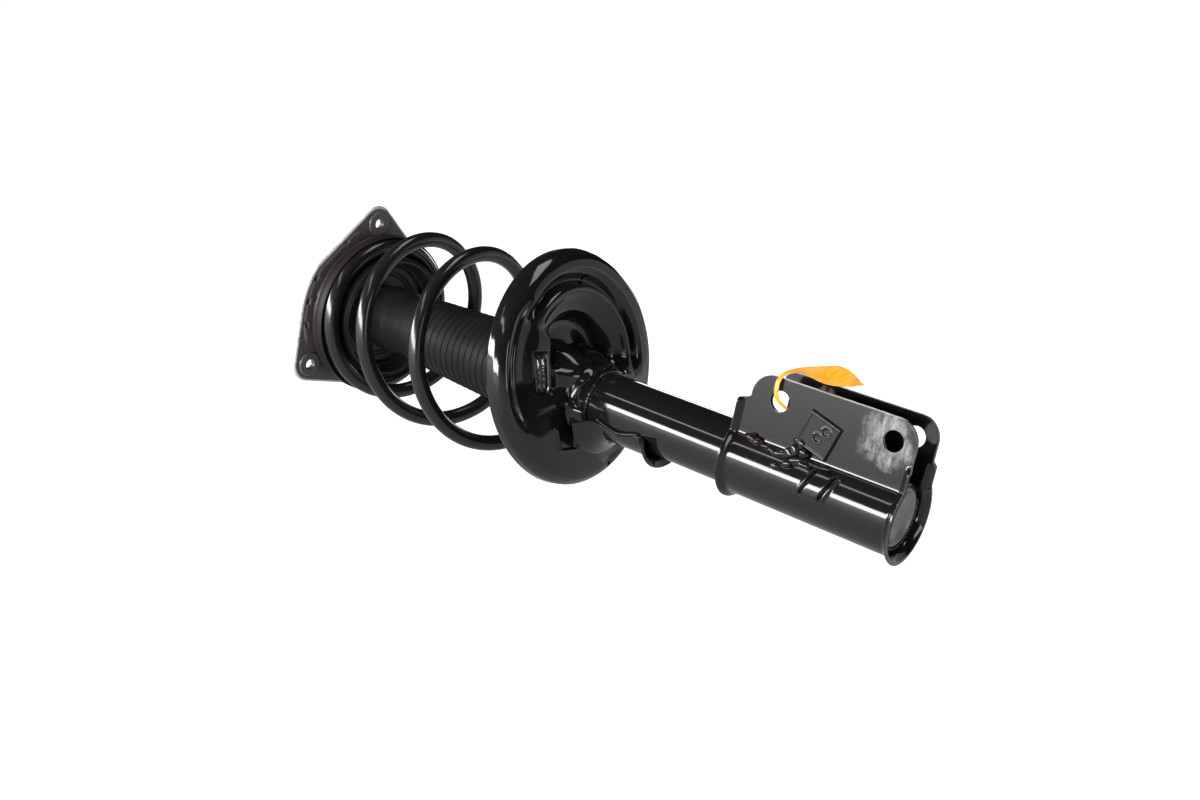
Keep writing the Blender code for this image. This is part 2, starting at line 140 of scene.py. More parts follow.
def mesh_piece(name, points, quads, fans, material, sharp, marks):
    """One object from points in millimetres, four-cornered faces and three-cornered ones."""
    mesh = bpy.data.meshes.new(name)
    used, corners = np.unique(np.concatenate([quads.ravel(), fans.ravel()]), return_inverse=True)
    corners = corners.ravel().astype(np.int32)
    everywhere, points = len(points), points[used]
    sizes = np.concatenate([np.full(len(quads), 4), np.full(len(fans), 3)]).astype(np.int32)
    mesh.vertices.add(len(points))
    mesh.vertices.foreach_set("co", ((points + ORIGIN) * MM).astype(np.float32).ravel())
    mesh.loops.add(len(corners))
    mesh.loops.foreach_set("vertex_index", corners)
    mesh.polygons.add(len(sizes))
    mesh.polygons.foreach_set("loop_start", (np.cumsum(sizes) - sizes).astype(np.int32))
    mesh.update(calc_edges=True)
    for label, values in marks.items():
        full = np.zeros(everywhere, np.float32)
        full[: values.size] = values.ravel()
        mesh.attributes.new(label, "FLOAT", "POINT").data.foreach_set("value", full[used])
    mesh.validate()
    mesh.materials.append(material)
    mesh.shade_smooth()
    mesh.set_sharp_from_angle(angle=math.radians(sharp))
    return link(name, mesh)


def piece(name, grid, material, around=True, loop=False, caps=False, flip=None, sharp=42, marks=None, gone=None):
    """A surface from a grid of points (rows, columns, 3).

    caps closes the first and last row with a fan to its middle. gone marks points whose faces are left out. A closed
    surface is turned the right way out by its volume; flip says it for an open one.
    """
    rows, columns = grid.shape[:2]
    points = grid.reshape(-1, 3)
    quads = grid_quads(rows, columns, around, loop)
    if gone is not None:
        quads = quads[~gone.ravel()[quads].any(axis=1)]
    fans = np.zeros((0, 3), int)
    if caps:
        count = len(points)
        points = np.concatenate([points, grid[[0, -1]].mean(axis=1)])
        j = np.arange(columns)
        after = (j + 1) % columns
        last = (rows - 1) * columns
        fans = np.concatenate([np.stack([after, j, np.full(columns, count)], 1),
                               np.stack([last + j, last + after, np.full(columns, count + 1)], 1)])
    if flip is None:
        flip = signed_volume(points - points.mean(axis=0), quads) < 0
    if flip:
        quads, fans = quads[:, ::-1], fans[:, ::-1]
    return mesh_piece(name, points, quads, fans, material, sharp, marks or {})


def rounded(corners, closed=True, steps=5):
    """A profile whose corners (x, r, fillet) are rounded: each corner becomes a quadratic arc between its two sides.

    One more point stands just off each end of the arc, which keeps the shading of the flat sides flat.
    """
    c = np.array([(*v, 0)[:3] for v in corners], float)
    p, f = c[:, :2], c[:, 2]
    back, ahead = np.roll(p, 1, axis=0) - p, np.roll(p, -1, axis=0) - p
    reach_back, reach_on = np.linalg.norm(back, axis=1), np.linalg.norm(ahead, axis=1)
    back, ahead = back / reach_back[:, None], ahead / reach_on[:, None]
    f = np.minimum(f, 0.42 * np.minimum(reach_back, reach_on))
    if not closed:
        f[[0, -1]] = 0
    back, ahead = (back * f[:, None])[:, None], (ahead * f[:, None])[:, None]
    p = p[:, None]
    t = np.concatenate([[-0.16], np.linspace(0, 1, steps + 1), [1.16]])[None, :, None]
    u = np.clip(t, 0, 1)
    line = (1 - u) ** 2 * (p + back) + 2 * u * (1 - u) * p + u**2 * (p + ahead)
    line = (line + np.maximum(-t, 0) * back + np.maximum(t - 1, 0) * ahead).reshape(-1, 2)
    keep = np.linalg.norm(np.diff(line, axis=0, prepend=line[-1:] + 1), axis=1) > 1e-4
    return line[keep]


def turned(name, corners, material, steps=96, solid=False, centre=(0.0, 0.0), change=None, sharp=42):
    """A profile carried round the x axis. solid closes both ends on the axis; change(x, r, a) may alter the radius."""
    line = rounded(corners, closed=not solid)
    a = full_turn(steps)
    x, r, a = np.broadcast_arrays(line[:, :1], line[:, 1:], a)
    if change:
        r = change(x, r, a)
    grid = np.stack([x, centre[0] + r * np.cos(a), centre[1] + r * np.sin(a)], -1)
    return piece(name, grid, material, loop=not solid, caps=solid, sharp=sharp)


def unit(rows):
    """Each row scaled to length 1."""
    return rows / np.linalg.norm(rows, axis=1)[:, None]


def wire(path, radius, sides, up):
    """A round wire along a path: each station is a circle square to the run, radius may change along it."""
    run = unit(np.gradient(path, axis=0))
    side = unit(np.cross(run, up))
    lift = np.cross(side, run)
    a = full_turn(sides)
    radius = np.broadcast_to(radius, len(path))[:, None, None]
    a = a[None, :, None]
    return path[:, None] + radius * (np.cos(a) * lift[:, None] + np.sin(a) * side[:, None])


def run_of(path):
    """Length along a path at each of its points."""
    return np.concatenate([[0], np.cumsum(np.linalg.norm(np.diff(path, axis=0), axis=1))])


def drop_ends(path, radius, reach):
    """Radii along a wire whose two ends are rounded over the given reach, as quarter circles."""
    run = run_of(path)
    near = np.minimum(run, run[-1] - run) / reach
    return radius * np.sqrt(np.clip(1 - (1 - np.clip(near, 0, 1)) ** 2, 0.002, 1))


def finish_piece(obj, body="strut_body", slot="gloss_black_paint", *stands_for):
    """Says what body the piece rides on and the CAD nodes that it stands for; slot is not used."""
    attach(obj, body)
    if stands_for:
        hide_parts(*stands_for)
    return obj


def turned_skin(node, corners, material, body, slot, steps=96, **shape):
    """The turned skin of one CAD node, named after it."""
    return finish_piece(turned(f"{node}_skin", corners, material, steps, **shape), body, slot, node)


def soften(obj, width, angle):
    """A bevel on the edges that are sharper than the angle, in degrees."""
    edge = obj.modifiers.new("edge", "BEVEL")
    edge.width, edge.segments, edge.limit_method, edge.angle_limit = width * MM, 3, "ANGLE", math.radians(angle)
    edge.harden_normals = False


def solidify(obj, thickness, offset=-1.0):
    """Gives a sheet its gauge, in millimetres."""
    mod = obj.modifiers.new("gauge", "SOLIDIFY")
    mod.thickness, mod.offset, mod.use_even_offset = thickness * MM, offset, False


def settle(obj, sharp):
    """Turns an object's modifiers into its mesh."""
    graph = bpy.context.evaluated_depsgraph_get()
    mesh = bpy.data.meshes.new_from_object(obj.evaluated_get(graph), preserve_all_data_layers=True, depsgraph=graph)
    obj.modifiers.clear()
    obj.data = mesh
    mesh.shade_smooth()
    mesh.set_sharp_from_angle(angle=math.radians(sharp))


def cut(obj, drill, sharp):
    """Cuts the drill's shape out of an object, and removes the drill."""
    mod = obj.modifiers.new("drill", "BOOLEAN")
    mod.operation, mod.solver, mod.object = "DIFFERENCE", "EXACT", drill
    settle(obj, sharp)
    bpy.data.objects.remove(drill, do_unlink=True)


# ------------------------------------------------------------------ finishes
def add(tree, kind, inputs=None, **settings):
    """One shader node; each input is a value or another node's socket."""
    n = tree.nodes.new(kind)
    for key, value in settings.items():
        setattr(n, key, value)
    set_inputs(n, inputs or {})
    return n


def set_inputs(node, values):
    """Sets sockets by label; a socket as a value is linked."""
    for label, value in values.items():
        if isinstance(value, bpy.types.NodeSocket):
            node.id_data.links.new(value, node.inputs[label])
        else:
            node.inputs[label].default_value = value


def times(tree, a, b, clamp=False):
    return add(tree, "ShaderNodeMath", {0: a, 1: b}, operation="MULTIPLY", use_clamp=clamp).outputs[0]


def plus(tree, a, b, clamp=False):
    return add(tree, "ShaderNodeMath", {0: a, 1: b}, operation="ADD", use_clamp=clamp).outputs[0]


def position(tree):
    return add(tree, "ShaderNodeTexCoord").outputs["Object"]


def scaled(colour, share):
    return tuple(share * c for c in colour)


def spread(tree, value, low, high, to_low=0.0, to_high=1.0):
    """A value from low..high laid onto to_low..to_high."""
    return add(tree, "ShaderNodeMapRange", {"Value": value, "From Min": low, "From Max": high, "To Min": to_low,
                                            "To Max": to_high}).outputs[0]


def tint(tree, share, a, b):
    """Colour a where share is 0 and colour b where it is 1."""
    a, b = (v if isinstance(v, bpy.types.NodeSocket) else (*v, 1.0) for v in (a, b))
    return add(tree, "ShaderNodeMix", {0: share, 6: a, 7: b}, data_type="RGBA").outputs[2]


def noise(tree, where, scale, detail=3.0, rough=0.55):
    inputs = {"Vector": where, "Scale": scale, "Detail": detail, "Roughness": rough}
    return add(tree, "ShaderNodeTexNoise", inputs).outputs[0]


def cell_distance(tree, where, scale):
    return add(tree, "ShaderNodeTexVoronoi", {"Vector": where, "Scale": scale}).outputs["Distance"]


def group(name, ins, outs, build):
    """One shared node group. build(tree, where, inside) gives the sockets for its outputs."""
    tree = bpy.data.node_groups.new(name, "ShaderNodeTree")
    for label, default in ins.items():
        tree.interface.new_socket(label, in_out="INPUT", socket_type="NodeSocketFloat").default_value = default
    for label in outs:
        tree.interface.new_socket(label, in_out="OUTPUT", socket_type="NodeSocketFloat")
    inside, end = tree.nodes.new("NodeGroupInput").outputs, tree.nodes.new("NodeGroupOutput").inputs
    for label, socket in zip(outs, build(tree, position(tree), inside)):
        tree.links.new(socket, end[label])
    return tree


def sprayed_skin(tree, where, inside):
    """Height of a ripple, a longer wave and small nibs, and a cloud of tone."""
    ripple = times(tree, noise(tree, where, 170, 2), inside["Ripple"])
    wave = times(tree, noise(tree, where, 38, 1), inside["Ripple"])
    nib = times(tree, spread(tree, cell_distance(tree, where, 190.0), 0.0, 0.075, 1.0, 0.0), inside["Nibs"])
    height = plus(tree, plus(tree, times(tree, ripple, 0.10), times(tree, wave, 0.55)), times(tree, nib, 0.55))
    return height, noise(tree, where, 22, 4)


def settled_dust(tree, where, inside):
    """Specks that gather in patches, and a thin haze."""
    patches = spread(tree, noise(tree, where, 30, 4), 0.5, 0.72)
    specks = times(tree, spread(tree, cell_distance(tree, where, 520.0), 0.05, 0.17, 1.0, 0.0), patches)
    haze = spread(tree, noise(tree, where, 55, 6, 0.7), 0.42, 0.75)
    return times(tree, specks, inside["Amount"], True), times(tree, haze, inside["Amount"], True)


def rubbed_edge(tree, where, inside):
    """A broken mask along the points marked as edge."""
    edge = add(tree, "ShaderNodeAttribute", attribute_name="edge").outputs["Fac"]
    fine, coarse = noise(tree, where, inside["Grain"], 2), noise(tree, where, 90, 3)
    broken = plus(tree, fine, times(tree, coarse, 0.8))
    mask = spread(tree, plus(tree, times(tree, edge, 0.75), broken), 1.28, 1.6)
    return [times(tree, times(tree, mask, edge), inside["Amount"], True)]


def moulded_grain(tree, where, inside):
    """Fine grain, and a cloud of tone."""
    return noise(tree, where, inside["Scale"], 4, 0.6), noise(tree, where, 35, 5, 0.65)


GROUPS = {
    "skin": group("sprayed_skin", {"Ripple": 1.0, "Nibs": 1.0}, ["Height", "Cloud"], sprayed_skin),
    "dust": group("settled_dust", {"Amount": 0.5}, ["Specks", "Haze"], settled_dust),
    "edge": group("rubbed_edge", {"Amount": 1.0, "Grain": 900.0}, ["Mask"], rubbed_edge),
    "grain": group("moulded_grain", {"Scale": 700.0}, ["Height", "Cloud"], moulded_grain)}


def place_group(tree, key, inputs):
    """The outputs of one shared group, with its inputs set."""
    n = tree.nodes.new("ShaderNodeGroup")
    n.node_tree = GROUPS[key]
    set_inputs(n, inputs)
    return n.outputs


def start(name, metallic=0.0, ior=1.5):
    """A new material, its node tree and its shader."""
    mat = bpy.data.materials.new(name)
    mat.use_nodes = True
    tree = mat.node_tree
    shader = tree.nodes["Principled BSDF"]
    set_inputs(shader, {"Metallic": metallic, "IOR": ior})
    return mat, tree, shader


def finish_shader(tree, shader, colour, gloss, height, strength, depth):
    """Links colour, roughness and a bump of the given strength and depth in millimetres."""
    bumped = add(tree, "ShaderNodeBump", {"Height": height, "Strength": strength, "Distance": depth * MM}).outputs[0]
    set_inputs(shader, {"Base Color": colour, "Roughness": gloss, "Normal": bumped})


def gloss_paint(name, colour=(0.0075, 0.0068, 0.0072), rough=0.085, ripple=1.0, dust=0.35, worn=None):
    """Thick black gloss over pressed steel: a slight ripple, nibs in the film, specks of dust, and rubbed edges.

    worn = (x, y, z, reach) greys the film in a cloudy patch round that point.
    """
    mat, tree, shader = start(name)
    skin = place_group(tree, "skin", {"Ripple": ripple, "Nibs": 0.6})
    specks = place_group(tree, "dust", {"Amount": dust})
    rub = place_group(tree, "edge", {"Amount": 0.8, "Grain": 1300.0})["Mask"]
    base = tint(tree, skin["Cloud"], scaled(colour, 0.7), scaled(colour, 1.35))
    base = tint(tree, specks["Specks"], base, (0.12, 0.11, 0.10))
    base = tint(tree, rub, base, (0.13, 0.125, 0.12))
    hazed = spread(tree, specks["Haze"], 0, 1, rough, rough + 0.10)
    gloss = plus(tree, hazed, times(tree, rub, 0.25))
    if worn:
        where = position(tree)
        inputs = {0: where, 1: placed(worn[:3])}
        away = add(tree, "ShaderNodeVectorMath", inputs, operation="DISTANCE").outputs["Value"]
        ragged = plus(tree, away, times(tree, noise(tree, where, 75, 5, 0.65), 0.030))
        near = spread(tree, ragged, worn[3] * MM + 0.020, worn[3] * MM + 0.012)
        drawn = add(tree, "ShaderNodeMapping", {"Vector": where, "Scale": (1.0, 1.0, 0.35)}).outputs[0]
        cloud = spread(tree, noise(tree, drawn, 230, 6, 0.75), 0.40, 0.64)
        scuff = times(tree, near, spread(tree, cloud, 0, 1, 0.18, 1.0), True)
        base = tint(tree, scuff, base, (0.22, 0.21, 0.22))
        gloss = plus(tree, gloss, times(tree, scuff, 0.20), True)
    finish_shader(tree, shader, base, gloss, skin["Height"], 0.30, 0.22)
    return mat


def moulded(name, colour, rough, grain=700.0, depth=0.06, dust=0.4, edge=0.0, metallic=0.0, swing=0.35, ior=1.5):
    """Moulded rubber or plastic, satin paint or plain metal: fine grain, cloudy tone, dust in patches, rubbed edges.

    swing is the share by which the tone rises and falls; depth is the grain's, in millimetres.
    """
    mat, tree, shader = start(name, metallic, ior=ior)
    skin = place_group(tree, "grain", {"Scale": grain})
    specks = place_group(tree, "dust", {"Amount": dust})
    base = tint(tree, skin["Cloud"], scaled(colour, 1 - swing), scaled(colour, 1 + swing))
    base = tint(tree, specks["Specks"], base, tuple(min(1.0, 2.5 * c + 0.05) for c in colour))
    gloss = spread(tree, skin["Cloud"], 0.25, 0.75, rough - 0.07, rough + 0.09)
    if edge:
        rub = place_group(tree, "edge", {"Amount": edge})["Mask"]
        base = tint(tree, rub, base, (0.55, 0.54, 0.53))
    finish_shader(tree, shader, base, gloss, skin["Height"], 0.5, depth)
    return mat


def tag_plastic(name):
    """Thin orange plastic: light passes through it, with faint whitish stress lines, and it gives off a faint painted
    glow of its own colour.
    """
    mat, tree, shader = start(name)
    where = position(tree)
    cloud = noise(tree, where, 120, 4)
    crease = spread(tree, noise(tree, where, 420, 3), 0.55, 0.75)
    base = tint(tree, cloud, (0.90, 0.24, 0.008), (1.0, 0.42, 0.03))
    base = tint(tree, times(tree, crease, 0.35), base, (1.0, 0.62, 0.22))
    # The emission is a painted glow: the tag shines faintly in its own colour, standing in for light coming through it.
    set_inputs(shader, {"Subsurface Weight": 0.35, "Subsurface Radius": (0.004, 0.0018, 0.0006),
                        "Subsurface Scale": 1.0, "Emission Color": base, "Emission Strength": 0.16})
    finish_shader(tree, shader, base, spread(tree, cloud, 0.2, 0.8, 0.25, 0.42), crease, 0.3, 0.12)
    return mat


def weld_metal(name):
    """Weld bead under thin paint: black with burnt, coppery and bare patches."""
    mat, tree, shader = start(name, 0.25)
    where = position(tree)
    cloud = noise(tree, where, 260, 5, 0.7)
    base = tint(tree, spread(tree, cloud, 0.50, 0.72), (0.010, 0.009, 0.010), (0.16, 0.055, 0.03))
    finish_shader(tree, shader, base, spread(tree, cloud, 0.3, 0.7, 0.10, 0.30), noise(tree, where, 500, 3), 0.5, 0.3)
    return mat


# after the colour come the roughness, then for paint the ripple and dust, and for the others the grain's scale, its
# depth in millimetres, dust, rubbed edges, metal and swing
PAINT = gloss_paint("gloss_black_paint")
BRACKET_PAINT = gloss_paint("gloss_black_paint_bracket", dust=0.5, worn=(BOLT_X[1] - 5, -EAR_OUT, BOLT_Z - 2, 17.5))
SPRING_PAINT = gloss_paint("gloss_black_spring_coat", (0.011, 0.0095, 0.0105), 0.16, 0.6, 0.3)
SATIN = moulded("satin_black_plate", (0.082, 0.070, 0.074), 0.40, 900.0, 0.05, 0.6, 1.0)
BOSS = moulded("satin_black_boss", (0.085, 0.075, 0.078), 0.36, 900.0, 0.04, 0.5, 0.8)
# The end cap's light grey-green is a painted reflection: a flat colour that stands in for the pale floor mirrored in
# the cap's face.
CAP_PAINTED_REFLECTION = moulded("cap_painted_floor_reflection", (0.20, 0.215, 0.21), 0.26, 600.0, 0.04, 0.5)
RUBBER = moulded("black_rubber", (0.0085, 0.0075, 0.0085), 0.42, 500.0, 0.05, 0.4)
PAD_RUBBER = moulded("black_pad_rubber", (0.014, 0.011, 0.0125), 0.50, 420.0, 0.08, 0.4, ior=1.25)
PLASTIC = moulded("black_plastic", (0.016, 0.0135, 0.0150), 0.36, 620.0, 0.04, 0.5)
COVER = moulded("black_cover_plastic", (0.030, 0.026, 0.027), 0.33, 620.0, 0.04, 0.6)
BOOT = moulded("boot_rubber", (0.0110, 0.0095, 0.0115), 0.52, 800.0, 0.03, 0.35, ior=1.22)
STEEL = moulded("bearing_steel", (0.56, 0.56, 0.57), 0.25, 1200.0, 0.01, 0.0, 0.0, 1.0, 0.08)
CHROME = moulded("rod_chrome", (0.80, 0.80, 0.82), 0.13, 1500.0, 0.004, 0.0, 0.0, 1.0, 0.04)
ZINC = moulded("zinc_steel", (0.46, 0.45, 0.42), 0.38, 700.0, 0.03, 0.3, 0.0, 1.0, 0.18)
SINTER = moulded("sintered_steel", (0.30, 0.29, 0.28), 0.52, 1100.0, 0.06, 0.0, 0.0, 1.0, 0.2)
FOAM = moulded("bump_foam", (0.50, 0.42, 0.20), 0.75, 650.0, 0.15, 0.4, 0.0, 0.0, 0.25)
NYLON = moulded("white_nylon", (0.72, 0.71, 0.67), 0.36, 600.0, 0.03, 0.0, 0.0, 0.0, 0.06)
TAG = tag_plastic("orange_tag")
WELD = weld_metal("weld_bead")

for cad_name, finish in (("pressure_tube", STEEL), ("base_valve", SINTER), ("rod_guide", SINTER), ("rod_seal", RUBBER),
                         ("rebound_stop", STEEL), ("piston", SINTER), ("piston_band", NYLON), ("piston_nut", ZINC),
                         ("bearing_lower_race", STEEL), ("bearing_upper_race", STEEL), ("bearing_ball_ring", NYLON)):
    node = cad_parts[cad_name]
    if not node.material_slots:
        node.data.materials.append(finish)
    for place in node.material_slots:
        place.material = finish


# ------------------------------------------------------------------ damper
def make_damper():
    """Tube, end cap, rod and its nut: profiles turned about the strut's axis."""
    tube = [(240, 20.4, 0.6), (240, TUBE_R, 2.2), (TUBE_END, TUBE_R, 0.6), (TUBE_END, 23.0, 0.3), (243, 23.0),
            (243, 20.4)]
    turned_skin("strut_tube", tube, PAINT, "strut_body", "gloss_black_paint", 160)
    cap = [(563, 6), (564, 12, 1), (568, 22.6, 2), (576, 22.6, 1.0), (577.4, 20.8, 0.8), (574.2, 17, 2.0),
           (571.8, 10, 2.0), (571.2, 3, 1), (571.6, 1.2)]
    # the cap's grey-green finish is a painted reflection of the floor
    turned_skin("tube_end_cap", cap, CAP_PAINTED_REFLECTION, "strut_body", "gloss_black_paint", 128, solid=True)

    def thread(x, r, a):
        """A screw thread: the radius rises and falls once for every 1.5 mm along and one turn round."""
        phase = (x / 1.5 + a / TAU) % 1
        return r - 0.75 * smooth(np.abs(phase - 0.5) * 2) * ((x < -19) & (x > -35.4) & (r > 5))

    rod = [(-36, 5.6), (-35.4, 6.3)] + [(x, 7.0) for x in np.arange(-35.3, -19, 0.25)] + [
        (4.9, 7.0, 0.2), (5.4, 10, 0.3), (298, 10, 0.4), (298.6, 5.4), (332, 5.4, 0.3), (333, 4.4)]
    turned_skin("piston_rod", rod, CHROME, "top_mount", "rod_chrome", 72, solid=True, change=thread)

    def hexagon(x, r, a):
        """A six-sided bar: the radius is cut to the flats, and its corners are turned down at both ends."""
        flat = 10.9 / np.cos((a + TAU / 12) % (TAU / 6) - TAU / 12)
        corner = 12.5 - 1.5 * smooth((np.abs(x + 28.35) - 3.4) / 1.2)
        return np.where(r > 9, np.minimum(flat, corner), r)

    nut = [(-33, 7.6, 0.4), (-33, 10.6), (-32.6, 12.5)] + [(x, 12.5) for x in np.arange(-32, -24.5, 0.5)] + [
        (-24.1, 12.5), (-23.7, 10.6), (-23.7, 7.6, 0.4)]
    turned_skin("rod_nut", nut, ZINC, "top_mount", "zinc_steel", 144, change=hexagon, sharp=25)
    washer = [(-23.4, 7.6, 0.3), (-23.4, 19, 0.7), (-20.7, 19, 0.7), (-20.7, 7.6, 0.3)]
    turned_skin("mount_washer", washer, ZINC, "top_mount", "zinc_steel")
    sleeve = [(-20.4, 7.4, 0.5), (-20.4, 13, 0.7), (4.6, 13, 0.7), (4.6, 7.4, 0.5)]
    turned_skin("mount_sleeve", sleeve, ZINC, "top_mount", "zinc_steel", 64)


# ------------------------------------------------------------------ coil spring
SEATED_X = 21.05  # centre of the wire where it lies on the upper seat
ON_DISH = -14.4  # centre of the wire below the dish's plane where it lies on the dish
FIRST_TURN, LAST_TURN = -0.80, 3.62


def coil_centre(t):
    """Centre of the wire after t turns: a small turn flat in the seat, wider turns that lean, then flat on the dish.

    Radius and offset grow over the first turn; x rises with t and its square; the lean adds a sine and a cosine of the
    turn. Two soft stops hold x at the seat and at the dish's own slope.
    """
    a = TAU * t
    grown, landed = smooth((t + 0.217) / 1.228), smooth((t - 2.2) / 1.3)
    radius = 68.2 + 14.1 * grown - 2.3 * landed
    centre = 5.8 * grown + 8.2 * landed
    y, z = -radius * np.cos(a), centre - radius * np.sin(a)
    pitched = 26.5 + 64.0 * t + 2.25 * t * t + 24 * smooth((t - 2.4) / 0.6)
    x = SEATED_X + 3 * np.logaddexp(0, (pitched - SEATED_X) / 3)
    x = x + grown * (1 - smooth((t - 2.5) / 0.5)) * (4.94 * np.sin(a) - 5.4 * np.cos(a))
    stop = PERCH_X + (ON_DISH - (z - PERCH_Z) * math.sin(LEAN)) / math.cos(LEAN)
    x = np.where(x > 150, stop - 4 * np.logaddexp(0, (stop - x) / 4), x)
    return np.stack([x, y, z], -1)


def make_spring():
    """Round wire swept along the coil, its two cut ends slightly rounded."""
    path = coil_centre(np.linspace(FIRST_TURN, LAST_TURN, 500))
    grid = wire(path, drop_ends(path, WIRE_R, 1.6), 28, (1.0, 0.02, 0.05))
    spring = piece("coil_spring_wire", grid, SPRING_PAINT, caps=True, sharp=60)
    finish_piece(spring, "strut_body", "gloss_black_paint", "coil_spring")
    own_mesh(spring)


# ------------------------------------------------------------------ dust boot
def make_boot():
    """A moulded cup below the top seat, then pleats that widen towards the perch; each pleat is a thin raised crest."""
    cup = [(27, 28.8, 0.4), (27, 30.4, 0.6), (31, 31.0, 1), (50, 30.4, 1), (52, 28.8, 0.8), (60, 28.5, 1),
           (74, 28.5, 1), (76, 30.9, 0.8), (84, 31.7, 0.5), (92, 32.4, 1)]
    first, pitch, count = 98.0, 7.9, 20
    # one pleat: (along, out from its crest, fillet)
    crest = [(-4.6, -1.15, 1.0), (-0.75, -0.75, 0.25), (0.0, 0.0, 0.3), (0.75, -0.85, 0.3)]
    pleats = [(first + pitch * k + along_x, 33.0 + 6.0 * k / (count - 1) + out, fillet)
              for k in range(count) for along_x, out, fillet in crest]
    inner = [(252.8, 38.0, 0.4), (252.8, 36.2, 0.4), (100, 28.9, 1), (54, 27.0, 1), (50, 28.2, 1)]

    def seam(x, r, a):
        """The mould's parting line, a fine ridge along both sides of the cup."""
        off = np.minimum(np.abs((a - 3.46) % TAU), np.abs((a - 0.32) % TAU)) * r
        return r + 0.35 * smooth(1 - off / 0.7) * (x < 92) * (r > 28.4)

    boot = turned("dust_boot_pleats", cup + pleats + inner, BOOT, 192, change=seam)
    finish_piece(boot, "strut_body", "black_rubber", "dust_boot")
    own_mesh(boot)
    stop = [(13.6, 11, 0.6), (13.6, 26, 1.5), (34, 26, 1.5), (36, 23, 1), (38, 26, 1.5), (52, 25.4, 1.5),
            (55, 21.4, 1.2), (58, 24.4, 1.5), (72, 23, 1.5), (76, 19.6, 1.2), (80, 21.6, 1.5), (96, 18, 2),
            (100, 15, 1.5), (100, 11, 0.8)]
    finish_piece(turned("bump_stop_foam", stop, FOAM), "spring_seat", "bump_foam", "bump_stop")


# ------------------------------------------------------------------ upper seat and top mount
def make_upper_seat():
    """The pan with its collar, and the rubber pad between it and the coil, both turned about the axis."""
    seat = [(10.3, 27, 0.4), (10.3, 60, 0.4), (8.0, 61.5, 0.4), (8.0, 76.0, 0.4), (8.6, 77.0, 0.4), (10.9, 77.1, 0.5),
            (11.6, 76.4, 0.3), (11.6, 57.6, 0.2), (12.2, 57.3, 0.3), (33.6, 57.3, 0.4), (34.6, 56.6, 0.5),
            (34.4, 54.6, 0.8), (30, 52.8, 1.5), (22, 50.8, 1.0), (21, 49.4, 0.6), (16, 48, 1.5), (14.4, 43, 1.0),
            (15.0, 41.5, 0.6), (15.0, 39.5, 0.6), (13.6, 38, 0.8), (13.2, 27, 0.5)]
    turned_skin("upper_spring_seat", seat, PLASTIC, "spring_seat", "black_plastic", 160)
    pad = [(12.3, 57.6, 0.2), (12.3, 76.4, 0.4), (12.8, 77.3, 0.5), (14.6, 77.4, 0.4), (15.2, 76.8, 0.3),
           (15.8, 77.4, 0.4), (20.8, 77.3, 0.5), (21.8, 76.6, 0.4), (20.6, 75.9, 0.6), (15.6, 75.7, 1.5),
           (13.7, 73.2, 1.0), (13.7, 62, 1.0), (15, 59.9, 1.2), (32.4, 59.5, 0.5), (34.0, 59.0, 0.7), (34.4, 57.6, 0.3)]
    turned_skin("upper_spring_pad", pad, PAD_RUBBER, "spring_seat", "black_rubber", 160)


def plate_radius(angle):
    """Outline of the top plate: the hull of its disc, its three lobes and its swollen side, as a radius at each angle.

    Each straight line that touches the hull is a limit; the radius is the nearest of them.
    """
    def around(turns):
        return np.stack([np.cos(turns), np.sin(turns)], -1)

    circle = around(np.linspace(0, TAU, 241)[:-1])
    rounds = [75.5 * circle] + [np.array(lobe) + 17.0 * circle for lobe in LOBES]
    dots = np.concatenate(rounds + [86.0 * around(np.radians(np.linspace(150, 196, 30)))])
    n = around(np.linspace(0, TAU, 1441)[:-1])
    support = (dots @ n.T).max(axis=0)
    cosine = around(angle) @ n.T
    reach = np.where(cosine > 0.05, support / np.maximum(cosine, 0.05), 1e9)
    return reach.min(axis=1)


